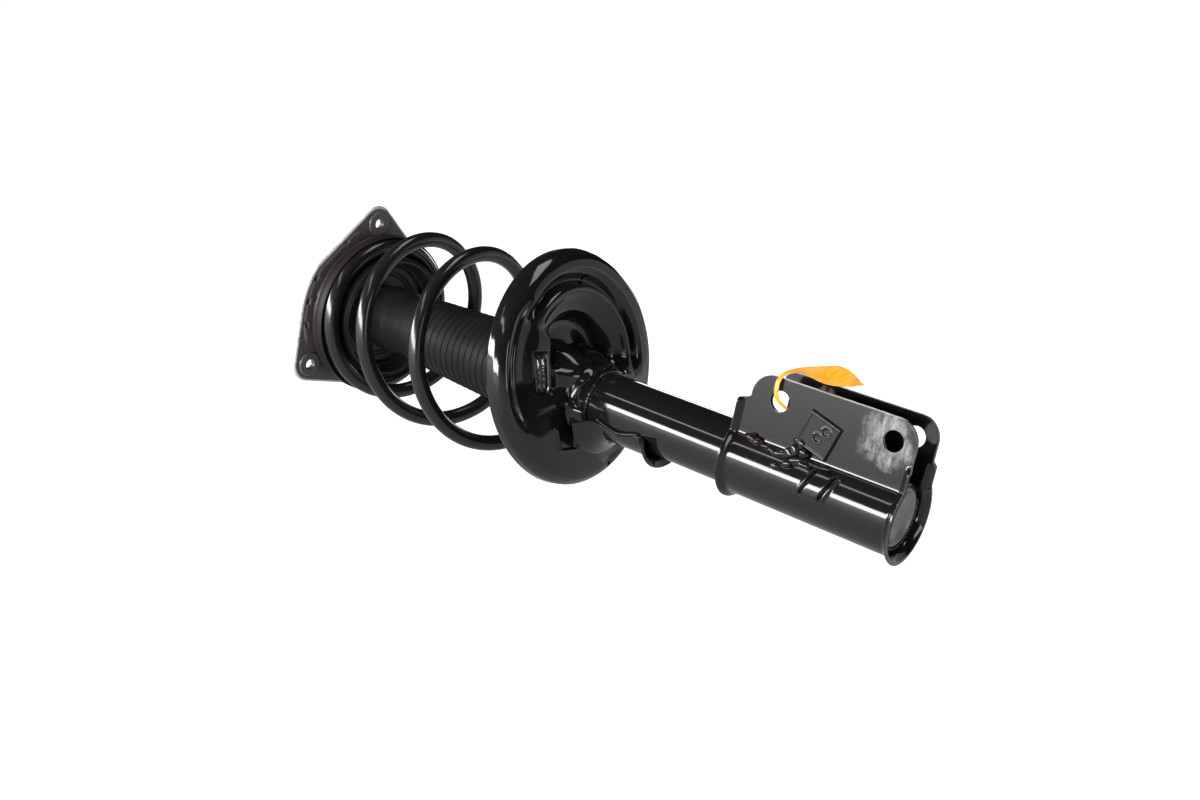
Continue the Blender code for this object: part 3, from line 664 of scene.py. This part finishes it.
def make_top_mount():
    """Plate with its tower, bosses, bearing cover and bonded rubber."""
    steps, bore = 540, 36.3
    a = full_turn(steps)
    edge = plate_radius(a)[None, :]
    # rows: (share of the way from bore to edge, inset from the edge, x)
    face = [(s, 5.0, 3.0) for s in np.concatenate([np.linspace(0, 0.6, 8), np.linspace(0.6, 1, 46)[1:]])[:-1]]
    rim = [(1, 4.0, 3.0), (1, 3.2, 3.0), (1, 2.2, 3.15), (1, 1.2, 3.1), (1, 0.5, 2.75), (1, 0.1, 2.2), (1, 0.0, 1.5),
           (1, 0.15, 0.7), (1, 0.6, 0.2), (1, 1.4, 0.0), (1, 3.0, 0.0)]
    behind = [(s, 5.0, 0.0) for s in np.linspace(1, 0, 8)[1:]]
    share, inset, x = np.array(face + rim + behind).T[..., None]
    r = bore + (edge - inset - bore) * share
    # a raised band round the swollen side, with short pockets along it
    y, z = r * np.cos(a), r * np.sin(a)
    ring = np.hypot(y + 1.6, z - 1.6)
    turn = np.degrees(a)
    side = smooth((turn - 108) / 8) * smooth((206 - turn) / 8) * (share < 1)
    band = smooth((81.6 - ring) / 1.2) * smooth((ring - 70) / 2)
    off = np.abs((turn - 125 + 8.1) % 16.2 - 8.1) * 1.38
    pocket = smooth((2.9 - off) / 0.8) * smooth((1.9 - np.abs(ring - 78.8)) / 0.8)
    x = x + side * (x > 2.9) * (1.5 * band - 3.4 * pocket * band)
    worn = np.where((share == 1) & (inset <= 2.2), 1.0, 0.0) + 0 * r
    grid = np.stack([x + 0 * r, y, z], -1)
    plate = piece("mount_plate_skin", grid, SATIN, loop=True, marks={"edge": worn}, sharp=50)
    for lobe in LOBES:
        cut(plate, turned("stud_drill", [(-9, 4.6), (9, 4.6)], SATIN, 40, solid=True, centre=lobe), 50)
    finish_piece(plate, "top_mount", "satin_black_plate", "mount_plate")
    tower = [(-20, 33, 1.0), (-22, 31, 1.0), (-22, 24.5, 0.5), (-19.4, 24.5, 0.5), (-19.4, 29.8, 1.5), (-2, 32.6, 2),
             (5.6, 33.2, 0.4), (5.6, 36.2, 0.6), (3.2, 36.6, 0.4), (0.2, 37.4, 1.0), (-2.5, 36.0, 2.0)]
    finish_piece(turned("mount_tower", tower, SATIN, 128), "top_mount", "satin_black_plate")
    boss = [(3.3, 4.6, 0.2), (3.3, 12.0, 0.2), (3.9, 11.8, 0.3), (5.2, 11.0, 0.5), (5.4, 10.0, 0.4), (5.2, 7.0, 0.4),
            (5.4, 6.0, 0.3), (5.2, 4.8, 0.4)]
    for number, lobe in enumerate(LOBES, 1):
        turned_skin(f"stud_boss_{number}", boss, BOSS, "top_mount", "satin_black_plate", 72, centre=lobe)

    def pockets(x, r, a):
        """Twenty short pockets sunk in the cover's wall, one every 18 degrees."""
        off = np.abs(a % math.radians(18) - math.radians(9)) * 75
        return r - 2.4 * smooth((2.7 - off) / 0.5) * ((x > 4.2) & (x < 6.4) & (r > 70))

    cover = [(3.3, 40, 0.3), (3.3, 74.2, 0.3), (4.15, 74.6), (4.3, 74.7), (4.9, 74.8), (5.6, 74.8), (6.2, 74.6),
             (6.35, 74.4), (7.0, 74.0, 0.3), (7.6, 73.0, 0.5), (7.6, 68.6, 0.2), (7.1, 68.2, 0.2), (7.1, 66.0, 0.2),
             (7.6, 65.6, 0.2), (7.6, 61.5, 0.4), (4.7, 60, 0.4), (4.7, 40, 0.3)]
    turned_skin("bearing_cover", cover, COVER, "top_mount", "black_plastic", 720, change=pockets)
    rubber = [(-18.6, 13.3, 0.4), (-19.1, 22, 1.5), (-17, 28.9, 1.5), (-2, 31.9, 1.5), (4.6, 32.6, 0.8), (5.4, 29, 1.0),
              (4.0, 24, 2.0), (4.6, 19, 2.0), (3.4, 13.3, 0.5)]
    turned_skin("mount_rubber", rubber, RUBBER, "top_mount", "black_rubber", 128)


# ------------------------------------------------------------------ lower spring perch
NECK_Z = -20.0  # the tube's axis, measured in the dish's own plane

# heights of the pressing above the dish's plane, against radius
UPPER = [(0, -14), (37, -14), (42, -11), (46, -1), (50, 2.4), (58, 5.6), (64, 8.9), (66.2, 9.2), (68.2, 8.0), (71, 2.2),
         (73.4, 0.3), (76, 2.6), (79.5, 6.6), (85, 8.7), (90, 8.2), (94, 6.0), (97.5, 2.2), (99.4, -1), (PERCH_R, -3)]
LEVEL = [(0, 10), (60, 7.6), (76, 5.6), (85, 5.0), (87.6, 3.4), (90, 5.0), (92.5, 5.4), (96, 3.6), (98.6, 0.4),
         (PERCH_R, -3)]
LOWER = [(0, 26), (34, 20.5), (50, 15), (70, 10.6), (86, 8.4), (91, 7.0), (95, 4.8), (98, 1.4), (99.5, -1),
         (PERCH_R, -3)]


def dish_height(y, z):
    """Height of the pressing over its own plane, and each point's distance and direction from the neck's middle.

    The upper half is grooved, with a level part at its left and a well within; the lower half is a plain flare. Small
    details are pressed on top.
    """
    r, a = np.hypot(y, z), np.degrees(np.arctan2(z, y))
    a = np.where(a < -120, a + 360, a)
    from_neck = np.hypot(y, z - NECK_Z)
    round_neck = np.degrees(np.arctan2(z - NECK_Z, y)) % 360
    flare = along(LOWER, r)
    # the groove's circle sits a little left and up of the dish's
    shifted = np.hypot(y + 4.5, z - 1.5) + 1.0
    pressed = along(UPPER, np.where(r > 84, r, mix(r, shifted, smooth((86 - r) / 6))))
    share = smooth((z + 22 + 0.05 * np.abs(y)) / 34)
    # the angle at which the groove ends; the well, nearer the neck, goes on further round
    limit = 157 + 30 * smooth((51 - r) / 9)
    well = smooth((limit - a) / 20) * smooth((a + 12) / 20)
    level = mix(flare, along(LEVEL, r), smooth((a - 128) / 14) * smooth((222 - a) / 26))
    h = mix(flare, mix(level, pressed, well), share)
    # past that angle the level part runs on down the left side
    h = mix(h, level, smooth((a - limit + 16) / 18) * smooth((222 - a) / 26))
    # shallow channel to the lower drain
    off = np.hypot((y - 38) * 0.35, (z + 78))
    h = h - 3.0 * bump(off, 9) * smooth((95 - r) / 8)
    # oblong recess with two ribs
    half_u, half_v = 9.0, 17.5
    u, v = y + 55.0 + 0.06 * (z + 2), z + 3.0
    sunk = smooth((half_u - np.abs(u)) / 1.8) * smooth((half_v - np.abs(v)) / 1.8)
    ribs = bump(u + 1.2, 1.7) + bump(u - 4.2, 1.7)
    h = h - 4.2 * sunk + 3.0 * ribs * sunk * smooth((15 - np.abs(v)) / 3)
    # folds between the neck and the saddle
    fold = bump(y + 0.62 * z + 38, 4.5) + 0.8 * bump(y + 0.35 * z + 22, 3.6) - 0.9 * bump(y + 0.5 * z + 30.5, 4.0)
    where = smooth((from_neck - 27) / 6) * smooth((z + 66) / 12) * smooth((-8 - z) / 12) * smooth((-y - 1) / 8)
    h = h + 2.6 * fold * where
    # tongue with a turned edge
    u, v = y + 29.5 + 0.34 * (z + 58), z + 58.5
    inside = smooth((11.5 - np.abs(u)) / 1.6) * smooth((11.0 - np.abs(v)) / 2.0)
    lip = inside * (1 - smooth((9.4 - np.abs(u)) / 1.8) * smooth((v + 9.0) / 1.8))
    h = h + 0.8 * inside + 1.8 * lip
    return h, from_neck, round_neck


def open_hole(grid, y, z, r):
    """Points inside the hole are marked as gone, and those just round it move out or in to the hole's circle."""
    dy, dz = grid[..., 1] - y, grid[..., 2] - z
    away = np.hypot(dy, dz)
    inside = away < 0.72 * r
    beside = np.zeros_like(inside)
    for i in (-1, 0, 1):
        for j in (-1, 0, 1):
            beside |= np.roll(inside, (i, j), axis=(0, 1))
    beside &= ~inside
    grid[..., 1] = np.where(beside, y + dy * r / away, grid[..., 1])
    grid[..., 2] = np.where(beside, z + dz * r / away, grid[..., 2])
    return inside


def leaning(h, y, z):
    """Points at height h over the dish's leaning plane."""
    lean_c, lean_s = math.cos(LEAN), math.sin(LEAN)
    return np.stack([PERCH_X - z * lean_s + h * lean_c, y, PERCH_Z + z * lean_c + h * lean_s], -1)


def make_perch():
    """A grid from the neck's circle to the rim's circle.

    Its height over the leaning plane is the dish's; near the neck it stands square to the tube.
    """
    rows, columns = 118, 340
    s = np.concatenate([np.linspace(0, 0.93, rows - 26), np.linspace(0.93, 1.0, 27)[1:]])[:, None]
    a = full_turn(columns)[None, :]
    radius = (TUBE_R + 0.3) * (1 - s) + PERCH_R * s
    y = radius * np.cos(a)
    z = radius * np.sin(a) + NECK_Z * (1 - s)
    h, from_neck, round_neck = dish_height(y, z)
    # the neck's collar: two swollen shoulders above and to the left, a plain flare elsewhere
    first, second = bump(round_neck - 130, 44), bump(round_neck - 60, 36)
    shoulder = 36 + 15 * first + 9 * second  # how far out each stands
    top = 15 + 5 * first + 8 * second  # how high
    drop = (1 - np.clip((from_neck - 22) / (shoulder - 20), 0, 1) ** 2.6) ** 1.35
    domes = smooth((round_neck - 4) / 25) * smooth((200 - round_neck) / 25)
    collar = h + (top + 6 * smooth((31 - from_neck) / 4) - h) * drop
    plain = mix(h, 33, smooth((37 - from_neck) / 11.5) ** 1.3)
    h = mix(plain, collar, domes)
    neck = np.stack([PERCH_X + 4 + h, y, radius * np.sin(a)], -1)
    grid = mix(neck, leaning(h, y, z), smooth(s / 0.3)[..., None])
    # the rolled rim goes on down as a wall
    wall = [(100.4, -3.4), (100.4, -5.0), (100.4, -7), (100.4, -9), (100.3, -10.5), (100.0, -11.2)]
    out, down = np.array(wall).T[..., None]
    grid = np.concatenate([grid, leaning(down + 0 * a, out * np.cos(a), out * np.sin(a))])
    gone = np.zeros(grid.shape[:2], bool)
    for drain_y, drain_z in ((4, 94), (34, -62)):
        gone |= open_hole(grid, drain_y, drain_z, 2.7)
    perch = piece("lower_spring_perch_skin", grid, PAINT, flip=True, sharp=60, gone=gone)
    solidify(perch, SHEET)
    finish_piece(perch, "strut_body", "gloss_black_paint", "lower_spring_perch")
    # rubber under the lower coil
    line = rounded([(71.5, -7.0, 0.5), (71.5, -4.7, 0.5), (88.0, -4.7, 0.5), (88.0, -7.0, 0.5)])
    y, z = line[:, :1] * np.cos(a), 14 + line[:, :1] * np.sin(a)
    x = PERCH_X + (line[:, 1:] - (z - PERCH_Z) * math.sin(LEAN)) / math.cos(LEAN)
    pad = piece("lower_spring_pad_skin", np.stack([x, y, z], -1), PAD_RUBBER, loop=True)
    finish_piece(pad, "strut_body", "black_rubber", "lower_spring_pad")


def saddle_notch(x):
    """Degrees by which the saddle's upper edges are cut back."""
    return 14 * bump(x - 338, 26)


def make_saddle():
    """Pressed saddle under the perch: a trough round the tube's underside with a turned lip.

    Its radius follows a table along x, and its upper edges are notched.
    """
    x = np.concatenate([np.linspace(307.5, 364, 56), np.linspace(364, 371.4, 14)[1:]])[:, None]
    table = [(300, 52), (307.5, 45), (312, 38.5), (317, 33), (325, 29.3), (336, 29.0), (363, 29.0), (367.5, 31),
             (371.4, 35.5)]
    r = along(table, x)
    notch = saddle_notch(x)
    angle = np.radians(mix(199 + notch, 341 - notch, np.linspace(0, 1, 90)[None, :]))
    grid = np.stack([x + 0 * angle, r * np.cos(angle), r * np.sin(angle)], -1)
    saddle = piece("perch_saddle", grid, PAINT, around=False, flip=False, sharp=60)
    solidify(saddle, SHEET)
    soften(saddle, 0.5, 50)
    finish_piece(saddle, "strut_body", "gloss_black_paint", "perch_bracket")


# ------------------------------------------------------------------ knuckle bracket
def bracket_section(count_ear, count_wrap):
    """Outer line of the section: from the near ear's top, down, round the tube and up the far ear.

    A small fillet fills the valley where an ear meets the wrap.
    """
    join = math.degrees(math.acos(EAR_OUT / WRAP_R))
    valley = WRAP_R * math.sin(math.radians(join))
    up = EAR_TOP - (EAR_TOP - valley - 3.2) * np.linspace(0, 1, count_ear) ** 1.15
    ear = np.stack([np.full(count_ear, -EAR_OUT), up], -1)
    a = np.radians(np.linspace(180 - join + 5, 360 + join - 5, count_wrap))
    wrap = WRAP_R * np.stack([np.cos(a), np.sin(a)], -1)
    t = np.linspace(0, 1, 9)[1:-1, None]
    corner = np.array([-EAR_OUT, valley - 0.3])
    fillet = (1 - t) ** 2 * ear[-1] + 2 * t * (1 - t) * corner + t**2 * wrap[0]
    mirror = np.array([-1, 1])
    return np.concatenate([ear, fillet, wrap, fillet[::-1] * mirror, ear[::-1] * mirror])


def make_bracket():
    """The section carried along x, with its details pressed outwards.

    The sheet's two ends follow the ears' rounded corners and flare out as lips round the wrap.
    """
    section = bracket_section(40, 120)
    y, z = section.T
    step = unit(np.gradient(section, axis=0))
    out = np.stack([step[:, 1], -step[:, 0]], -1)
    out *= np.sign((out * section).sum(axis=1))[:, None]
    flat = (np.abs(y) >= EAR_OUT - 0.01) & (z > 22)
    out[flat] = np.stack([np.sign(y), 0 * y], -1)[flat]
    ear_r = 17
    corner = ear_r - np.sqrt(np.clip(ear_r**2 - np.clip(z - (EAR_TOP - ear_r), 0, ear_r) ** 2, 0, None))
    near = y < 0
    lip_top = np.where(near, 51.5, 33.0)
    set_back = np.where(near, 0.0, 12.0 * smooth((z - 30) / 4) * smooth((68 - z) / 14))
    x0 = EAR_X0 + corner + set_back - (EAR_X0 - WRAP_X0) * smooth((lip_top - z) / 3.5)
    x0 = np.where(z > 22, x0, WRAP_X0)
    x1 = np.where(z > 22, EAR_X1 - corner + (WRAP_X1 - EAR_X1) * smooth((42 - z) / 3), WRAP_X1)
    v = np.concatenate([np.linspace(0, 0.06, 12), np.linspace(0.06, 0.45, 30)[1:], np.linspace(0.45, 0.70, 60)[1:-1],
                        np.linspace(0.70, 0.94, 20), np.linspace(0.94, 1, 12)[1:]])
    x = x0[:, None] + (x1 - x0)[:, None] * v[None, :]
    lip_a = smooth((WRAP_X0 + 6.5 - x) / 6.0) ** 1.5 * smooth((lip_top - 0.5 - z) / 5)[:, None]
    lip_b = smooth((x - WRAP_X1 + 6.5) / 6.0) ** 1.5 * smooth((41.5 - z) / 5)[:, None]
    turn = np.degrees(np.arctan2(z, y))[:, None] % 360
    slant = 0.17 * (turn - 172)
    arch = smooth((turn - 141) / 5) * smooth((188 - turn) / 5) * smooth((12.0 - np.abs(x - 521 + slant)) / 1.4)
    ribs = bump(x - 513.2 + slant, 1.8) + bump(x - 528.6 + slant, 1.8)
    rise = 4.4 * (lip_a + lip_b) + arch * (2.3 - 3.4 * ribs)
    yz = section[:, None] + out[:, None] * rise[..., None]
    grid = np.concatenate([x[..., None], yz], -1)
    border = np.zeros(x.shape)
    border[:, 0] = border[:, -1] = 0.8
    border[0] = border[-1] = 1
    marks = {"edge": border}
    sheet = piece("knuckle_bracket_sheet", grid, BRACKET_PAINT, around=False, flip=True, sharp=60, marks=marks)
    solidify(sheet, BRACKET_GAUGE)
    settle(sheet, 60)
    ring = full_turn(56)
    for bolt_x in BOLT_X:
        hole = np.stack([bolt_x + BOLT_R * np.cos(ring), 0 * ring, BOLT_Z + BOLT_R * np.sin(ring)], -1)
        cut(sheet, piece("bolt_drill", np.stack([hole - (0, 40, 0), hole + (0, 40, 0)]), BRACKET_PAINT, caps=True), 60)
    soften(sheet, 0.55, 55)
    settle(sheet, 50)
    finish_piece(sheet, "strut_body", "gloss_black_paint", "knuckle_bracket")

    # raised square pad with two plain dimples
    half = 13.8
    u, w = np.meshgrid(*[np.linspace(-half, half, 91)] * 2, indexing="ij")
    reach = np.maximum(np.abs(u), np.abs(w))
    rise = 3.0 * smooth((half - reach) / 1.1) - 0.5 * smooth((12.0 - reach) / 0.9)
    for u0, w0 in ((4.4, 5.6), (0.4, -1.6)):
        away = np.hypot(u - u0, w - w0)
        rise += 0.5 * bump(away - 3.6, 1.0) - 0.8 * smooth((3.2 - away) / 1.2)
    turn = math.radians(-16)
    x = 510.6 + u * math.cos(turn) - w * math.sin(turn)
    z = 40.6 + u * math.sin(turn) + w * math.cos(turn)
    grid = np.stack([x, -EAR_OUT + 0.35 - rise, z], -1)
    pad = piece("bracket_pad", grid, BRACKET_PAINT, around=False, flip=False, sharp=60)
    solidify(pad, 0.3)
    finish_piece(pad)


# ------------------------------------------------------------------ welds
def blobs(name, spots, material):
    """Round beads of weld, each a sphere drawn out along its run and dented by slow waves, all in one mesh.

    spots holds x, y, z, the three half lengths and the tilt in degrees of each.
    """
    spots = np.array(spots, float)
    rows, columns = 14, 20
    p = np.linspace(0.03, math.pi - 0.03, rows)[:, None]
    q = full_turn(columns)[None, :]
    ball = np.stack([np.cos(p) + 0 * q, np.sin(p) * np.cos(q), np.sin(p) * np.sin(q)], -1)
    k = np.arange(len(spots))[:, None, None]
    i, j, m = np.moveaxis(ball, -1, 0)[:, None]
    dent = 1 + 0.13 * np.sin(3 * i + 2.1 * k) + 0.10 * np.sin(4 * j + 1.3 * k) + 0.08 * np.cos(5 * m + 0.7 * k)
    x, y, z = np.moveaxis(ball[None] * dent[..., None] * spots[:, None, None, 3:6], -1, 0)
    tilt = np.radians(spots[:, 6])[:, None, None]
    x, z = x * np.cos(tilt) - z * np.sin(tilt), x * np.sin(tilt) + z * np.cos(tilt)
    points = (np.stack([x, y, z], -1) + spots[:, None, None, :3]).reshape(-1, 3)
    before = rows * columns * k
    quads = (grid_quads(rows, columns, True, False)[None] + before).reshape(-1, 4)
    j = np.arange(1, columns - 1)
    first = np.stack([0 * j, j + 1, j], 1)
    last = np.stack([0 * j, j, j + 1], 1) + (rows - 1) * columns
    fans = (np.concatenate([first, last])[None] + before).reshape(-1, 3)
    if signed_volume(points - points.mean(axis=0), quads) < 0:
        quads, fans = quads[:, ::-1], fans[:, ::-1]
    finish_piece(mesh_piece(name, points, quads, fans, material, 60, {}))


def bead(name, path, radius, seed):
    """A run of weld: a round wire along the path whose radius swells in ripples."""
    path = np.array(path, float)
    t = np.linspace(0, len(path) - 1, 30 * len(path))
    k = np.clip(t.astype(int), 0, len(path) - 2)
    line = path[k] + (path[k + 1] - path[k]) * (t - k)[:, None]
    soft = np.ones(9) / 9
    line = np.stack([np.convolve(np.pad(line[:, i], 4, mode="edge"), soft, mode="valid") for i in range(3)], -1)
    run = run_of(line)
    size = radius * (1 + 0.16 * np.sin(run * 2.6 + seed) + 0.12 * np.sin(run * 1.1 + 2 * seed))
    grid = wire(line, drop_ends(line, 1.0, 2.0) * size, 14, (0.3, 1.0, 0.2))
    finish_piece(piece(name, grid, PAINT, caps=True, sharp=70))


def make_welds():
    """Beads in the bracket's valleys, round the end cap, along the saddle and round the neck."""
    valley = WRAP_R * math.sin(math.acos(EAR_OUT / WRAP_R))
    blobs("weld_spatter", [
        (472, -22.8, 20.2, 5.2, 2.2, 2.2, 4), (479.5, -23.1, 19.2, 5.6, 2.5, 2.4, -12),
        (486.5, -22.9, 19.4, 5.2, 2.8, 2.8, 14), (492.0, -23.0, 21.0, 4.8, 3.2, 4.0, 35),
        (496.6, -22.4, 24.6, 4.2, 2.8, 5.2, 12), (499.8, -21.6, 29.8, 3.0, 2.2, 5.0, -18),
        (495.2, -21.2, 31.6, 2.4, 1.6, 3.0, 15), (503.8, -22.4, 24.6, 4.4, 2.7, 3.8, -14),
        (500.4, -24.8, 18.4, 4.8, 3.0, 3.8, 20), (494.0, -26.4, 14.0, 5.4, 2.8, 3.6, 28),
        (486.8, -27.8, 10.4, 4.6, 2.2, 3.2, -16), (506.8, -24.8, 18.0, 4.2, 2.6, 3.2, 0)], PAINT)
    blobs("weld_burr", [(459.0, -22.1, 22.2, 5.4, 2.6, 3.4, -10), (465.0, -22.4, 21.0, 4.4, 2.2, 2.6, 14)], WELD)
    bead("valley_weld", [(505, -21.6, 20.6), (512, -23.0, 19.6), (519, -23.2, 19.4), (527, -22.0, 20.2)], 1.9, 0.7)
    bead("far_valley_weld", [(470, 21.9, valley - 0.6), (500, 22.0, valley - 0.6), (540, 22.0, valley - 0.6)], 2.0, 2.2)
    a = np.radians(np.linspace(150, 390, 40))
    bead("cap_weld", np.stack([576.6 + 0 * a, 23.6 * np.cos(a), 23.6 * np.sin(a)], -1), 1.2, 1.1)
    x = np.linspace(318, 362, 16)
    for side, mark in ((-1, "near"), (1, "far")):
        a = np.radians(270 + side * (72 - saddle_notch(x)))
        bead(f"saddle_weld_{mark}", np.stack([x, 27.0 * np.cos(a), 27.0 * np.sin(a)], -1), 1.4, 1.4 + side)
    a = (np.linspace(0, TAU, 121)[:-1])[:, None]
    b = full_turn(12)[None, :]
    size = 1.5 + 0.22 * np.sin(41 * a)
    out = 26.2 + size * np.sin(b)
    x = PERCH_X + 36.2 + 0.4 * np.sin(3 * a) + size * np.cos(b)
    grid = np.stack([x, out * np.cos(a), out * np.sin(a)], -1)
    finish_piece(piece("neck_weld", grid, PAINT, loop=True, sharp=70))


# ------------------------------------------------------------------ inspection tag
def make_tag():
    """A thin strap through the upper bolt hole that widens into a creased flag over the ears."""
    path = np.array([(478.6, -15.2, 49.8), (478.0, -16.9, 50.6), (476.4, -18.6, 52.2), (473.8, -21.0, 54.4),
                     (471.6, -22.6, 58.5), (470.5, -23.2, 64), (470.6, -22.2, 70.5), (472.2, -18.6, 75.2),
                     (475.8, -12.5, 78.0), (481, -6.4, 79.2), (487.5, -1.4, 79.6), (495, 2.4, 80.0),
                     (503, 5.4, 80.6), (511, 7.6, 80.8), (519.5, 9.6, 80.2)])
    across = np.array([(1, 0.05, 0.35)] * 6 + [(1, 0.1, 0.1), (0.95, -0.1, -0.1), (0.80, -0.45, -0.35),
                                               (0.50, -0.62, -0.6)] + [(0.30, -0.62, -0.72)] * 5)
    half = np.array([1.1, 1.5, 1.7, 1.7, 1.7, 1.7, 1.7, 1.8, 2.2, 3.6, 5.8, 7.8, 8.6, 6.4, 0.5])
    t = np.linspace(0, len(path) - 1, 150)
    k = np.clip(t.astype(int), 1, len(path) - 3)
    u = (t - k)[:, None]  # share of the way to the next row

    def through(table):
        """Smooth run through the rows of a table, each stretch a cubic of its four nearest rows."""
        p0, p1, p2, p3 = (table[k + i] for i in (-1, 0, 1, 2))
        return p1 + 0.5 * u * (p2 - p0 + u * (2 * p0 - 5 * p1 + 4 * p2 - p3 + u * (3 * (p1 - p2) + p3 - p0)))

    line, side, reach = through(path), unit(through(across)), through(half[:, None])
    lift = unit(np.cross(np.gradient(line, axis=0), side))
    v = np.linspace(-1, 1, 17)[None, :]
    t = t[:, None]
    # the flag waves, and one crease runs slanting over it
    wave, crease = 0.9 * np.sin(2.6 * v + 1.7 * t), 1.2 * np.abs((t * 1.3 + v * 0.8) % 1 - 0.5)
    folds = smooth((t - 9) / 2) * (wave + crease)
    grid = line[:, None] + side[:, None] * (reach * v)[..., None] + lift[:, None] * folds[..., None] * 0.8
    tag = piece("inspection_tag_strap", grid, TAG, around=False, flip=False, sharp=60)
    solidify(tag, 0.45, 0.0)
    finish_piece(tag, "strut_body", "orange_tag", "inspection_tag")


# ------------------------------------------------------------------ floor, lights and camera
def by_camera(tree, seen_value, other_value):
    """One value for what the camera sees straight on, and another for reflections and light."""
    seen = add(tree, "ShaderNodeLightPath").outputs["Is Camera Ray"]
    return add(tree, "ShaderNodeMix", {0: seen, 2: other_value, 3: seen_value}, data_type="FLOAT").outputs[0]


def facing(back, right, place):
    """Matrix of a lamp or camera at place that looks away from back, with right on its right."""
    columns = np.stack([right, np.cross(back, right), back], 1)
    return Matrix([(*row, p) for row, p in zip(columns, place)] + [(0, 0, 0, 1)])


def make_studio():
    """A pale glowing floor and sky, and a few soft panels."""
    floor = bpy.data.meshes.new("studio_floor")
    floor.from_pydata([(-9, -9, -0.0005), (9, -9, -0.0005), (9, 9, -0.0005), (-9, 9, -0.0005)], [], [(0, 1, 2, 3)])
    obj = link("studio_floor", floor)
    mat, tree, shader = start("pale_floor")
    set_inputs(shader, {"Base Color": (0.22, 0.22, 0.22, 1), "Roughness": 0.55, "Emission Color": (1, 1, 1, 1),
                        "Emission Strength": by_camera(tree, 1.10, 0.44)})
    floor.materials.append(mat)

    world = bpy.data.worlds.new("studio")
    bpy.context.scene.world = world
    world.use_nodes = True
    tree = world.node_tree
    ground = tree.nodes["Background"]
    where = add(tree, "ShaderNodeTexCoord").outputs["Generated"]
    height = add(tree, "ShaderNodeSeparateXYZ", {0: where}).outputs["Z"]
    glow = spread(tree, height, 0.0, 0.20, 0.60, 0.03)
    set_inputs(ground, {"Strength": by_camera(tree, 1.05, glow), "Color": (1, 1, 1, 1)})

    for name, place, aim, size, power in (
            ("front_strip", (-0.50, -1.30, 0.20), (0, 0, 0.12), (2.5, 0.28), 52),
            ("upper_strip", (-0.35, -1.10, 1.05), (0, 0, 0.09), (1.6, 0.10), 3),
            ("overhead", (0.1, 0.2, 1.9), (0, 0, 0.05), (1.1, 0.5), 7),
            ("right_soft", (1.45, -0.25, 0.45), (0.2, 0, 0.1), (0.35, 0.6), 3),
            ("rear_soft", (1.0, 1.5, 0.65), (0, 0, 0.1), (1.3, 1.3), 2.8),
            ("rear_strip", (-0.6, 1.45, 0.45), (0, 0, 0.1), (1.0, 0.25), 4)):
        light = bpy.data.lights.new(name, "AREA")
        light.shape, light.size, light.size_y, light.energy = "RECTANGLE", *size, power
        lamp = link(name, light)
        back = np.subtract(place, aim)
        right = np.cross((0, 0, 1), back)
        lamp.matrix_world = facing(back / np.linalg.norm(back), right / np.linalg.norm(right), place)
        lamp.visible_camera = False


def make_camera():
    """A 36 mm wide frame, seen from the knuckle's end and a little above, and turned about its own line of sight."""
    az, el, roll = (math.radians(v) for v in (36.9, 13.6, 11.5))
    back = np.array([math.sin(az) * math.cos(el), -math.cos(az) * math.cos(el), math.sin(el)])
    right = np.array([math.cos(az), math.sin(az), 0.0])
    right = math.cos(roll) * right + math.sin(roll) * np.cross(back, right)
    data = bpy.data.cameras.new("camera")
    data.lens, data.sensor_width, data.sensor_fit = 34.88, 36.0, "HORIZONTAL"
    data.clip_start, data.clip_end = 0.02, 60
    camera = link("camera", data)
    camera.matrix_world = facing(back, right, placed((867.56, -757.6, 228.7)))
    bpy.context.scene.camera = camera


for make in (make_damper, make_spring, make_boot, make_upper_seat, make_top_mount, make_perch, make_saddle,
             make_bracket, make_welds, make_tag, make_studio, make_camera):
    make()
bpy.context.scene.view_settings.view_transform = "Standard"
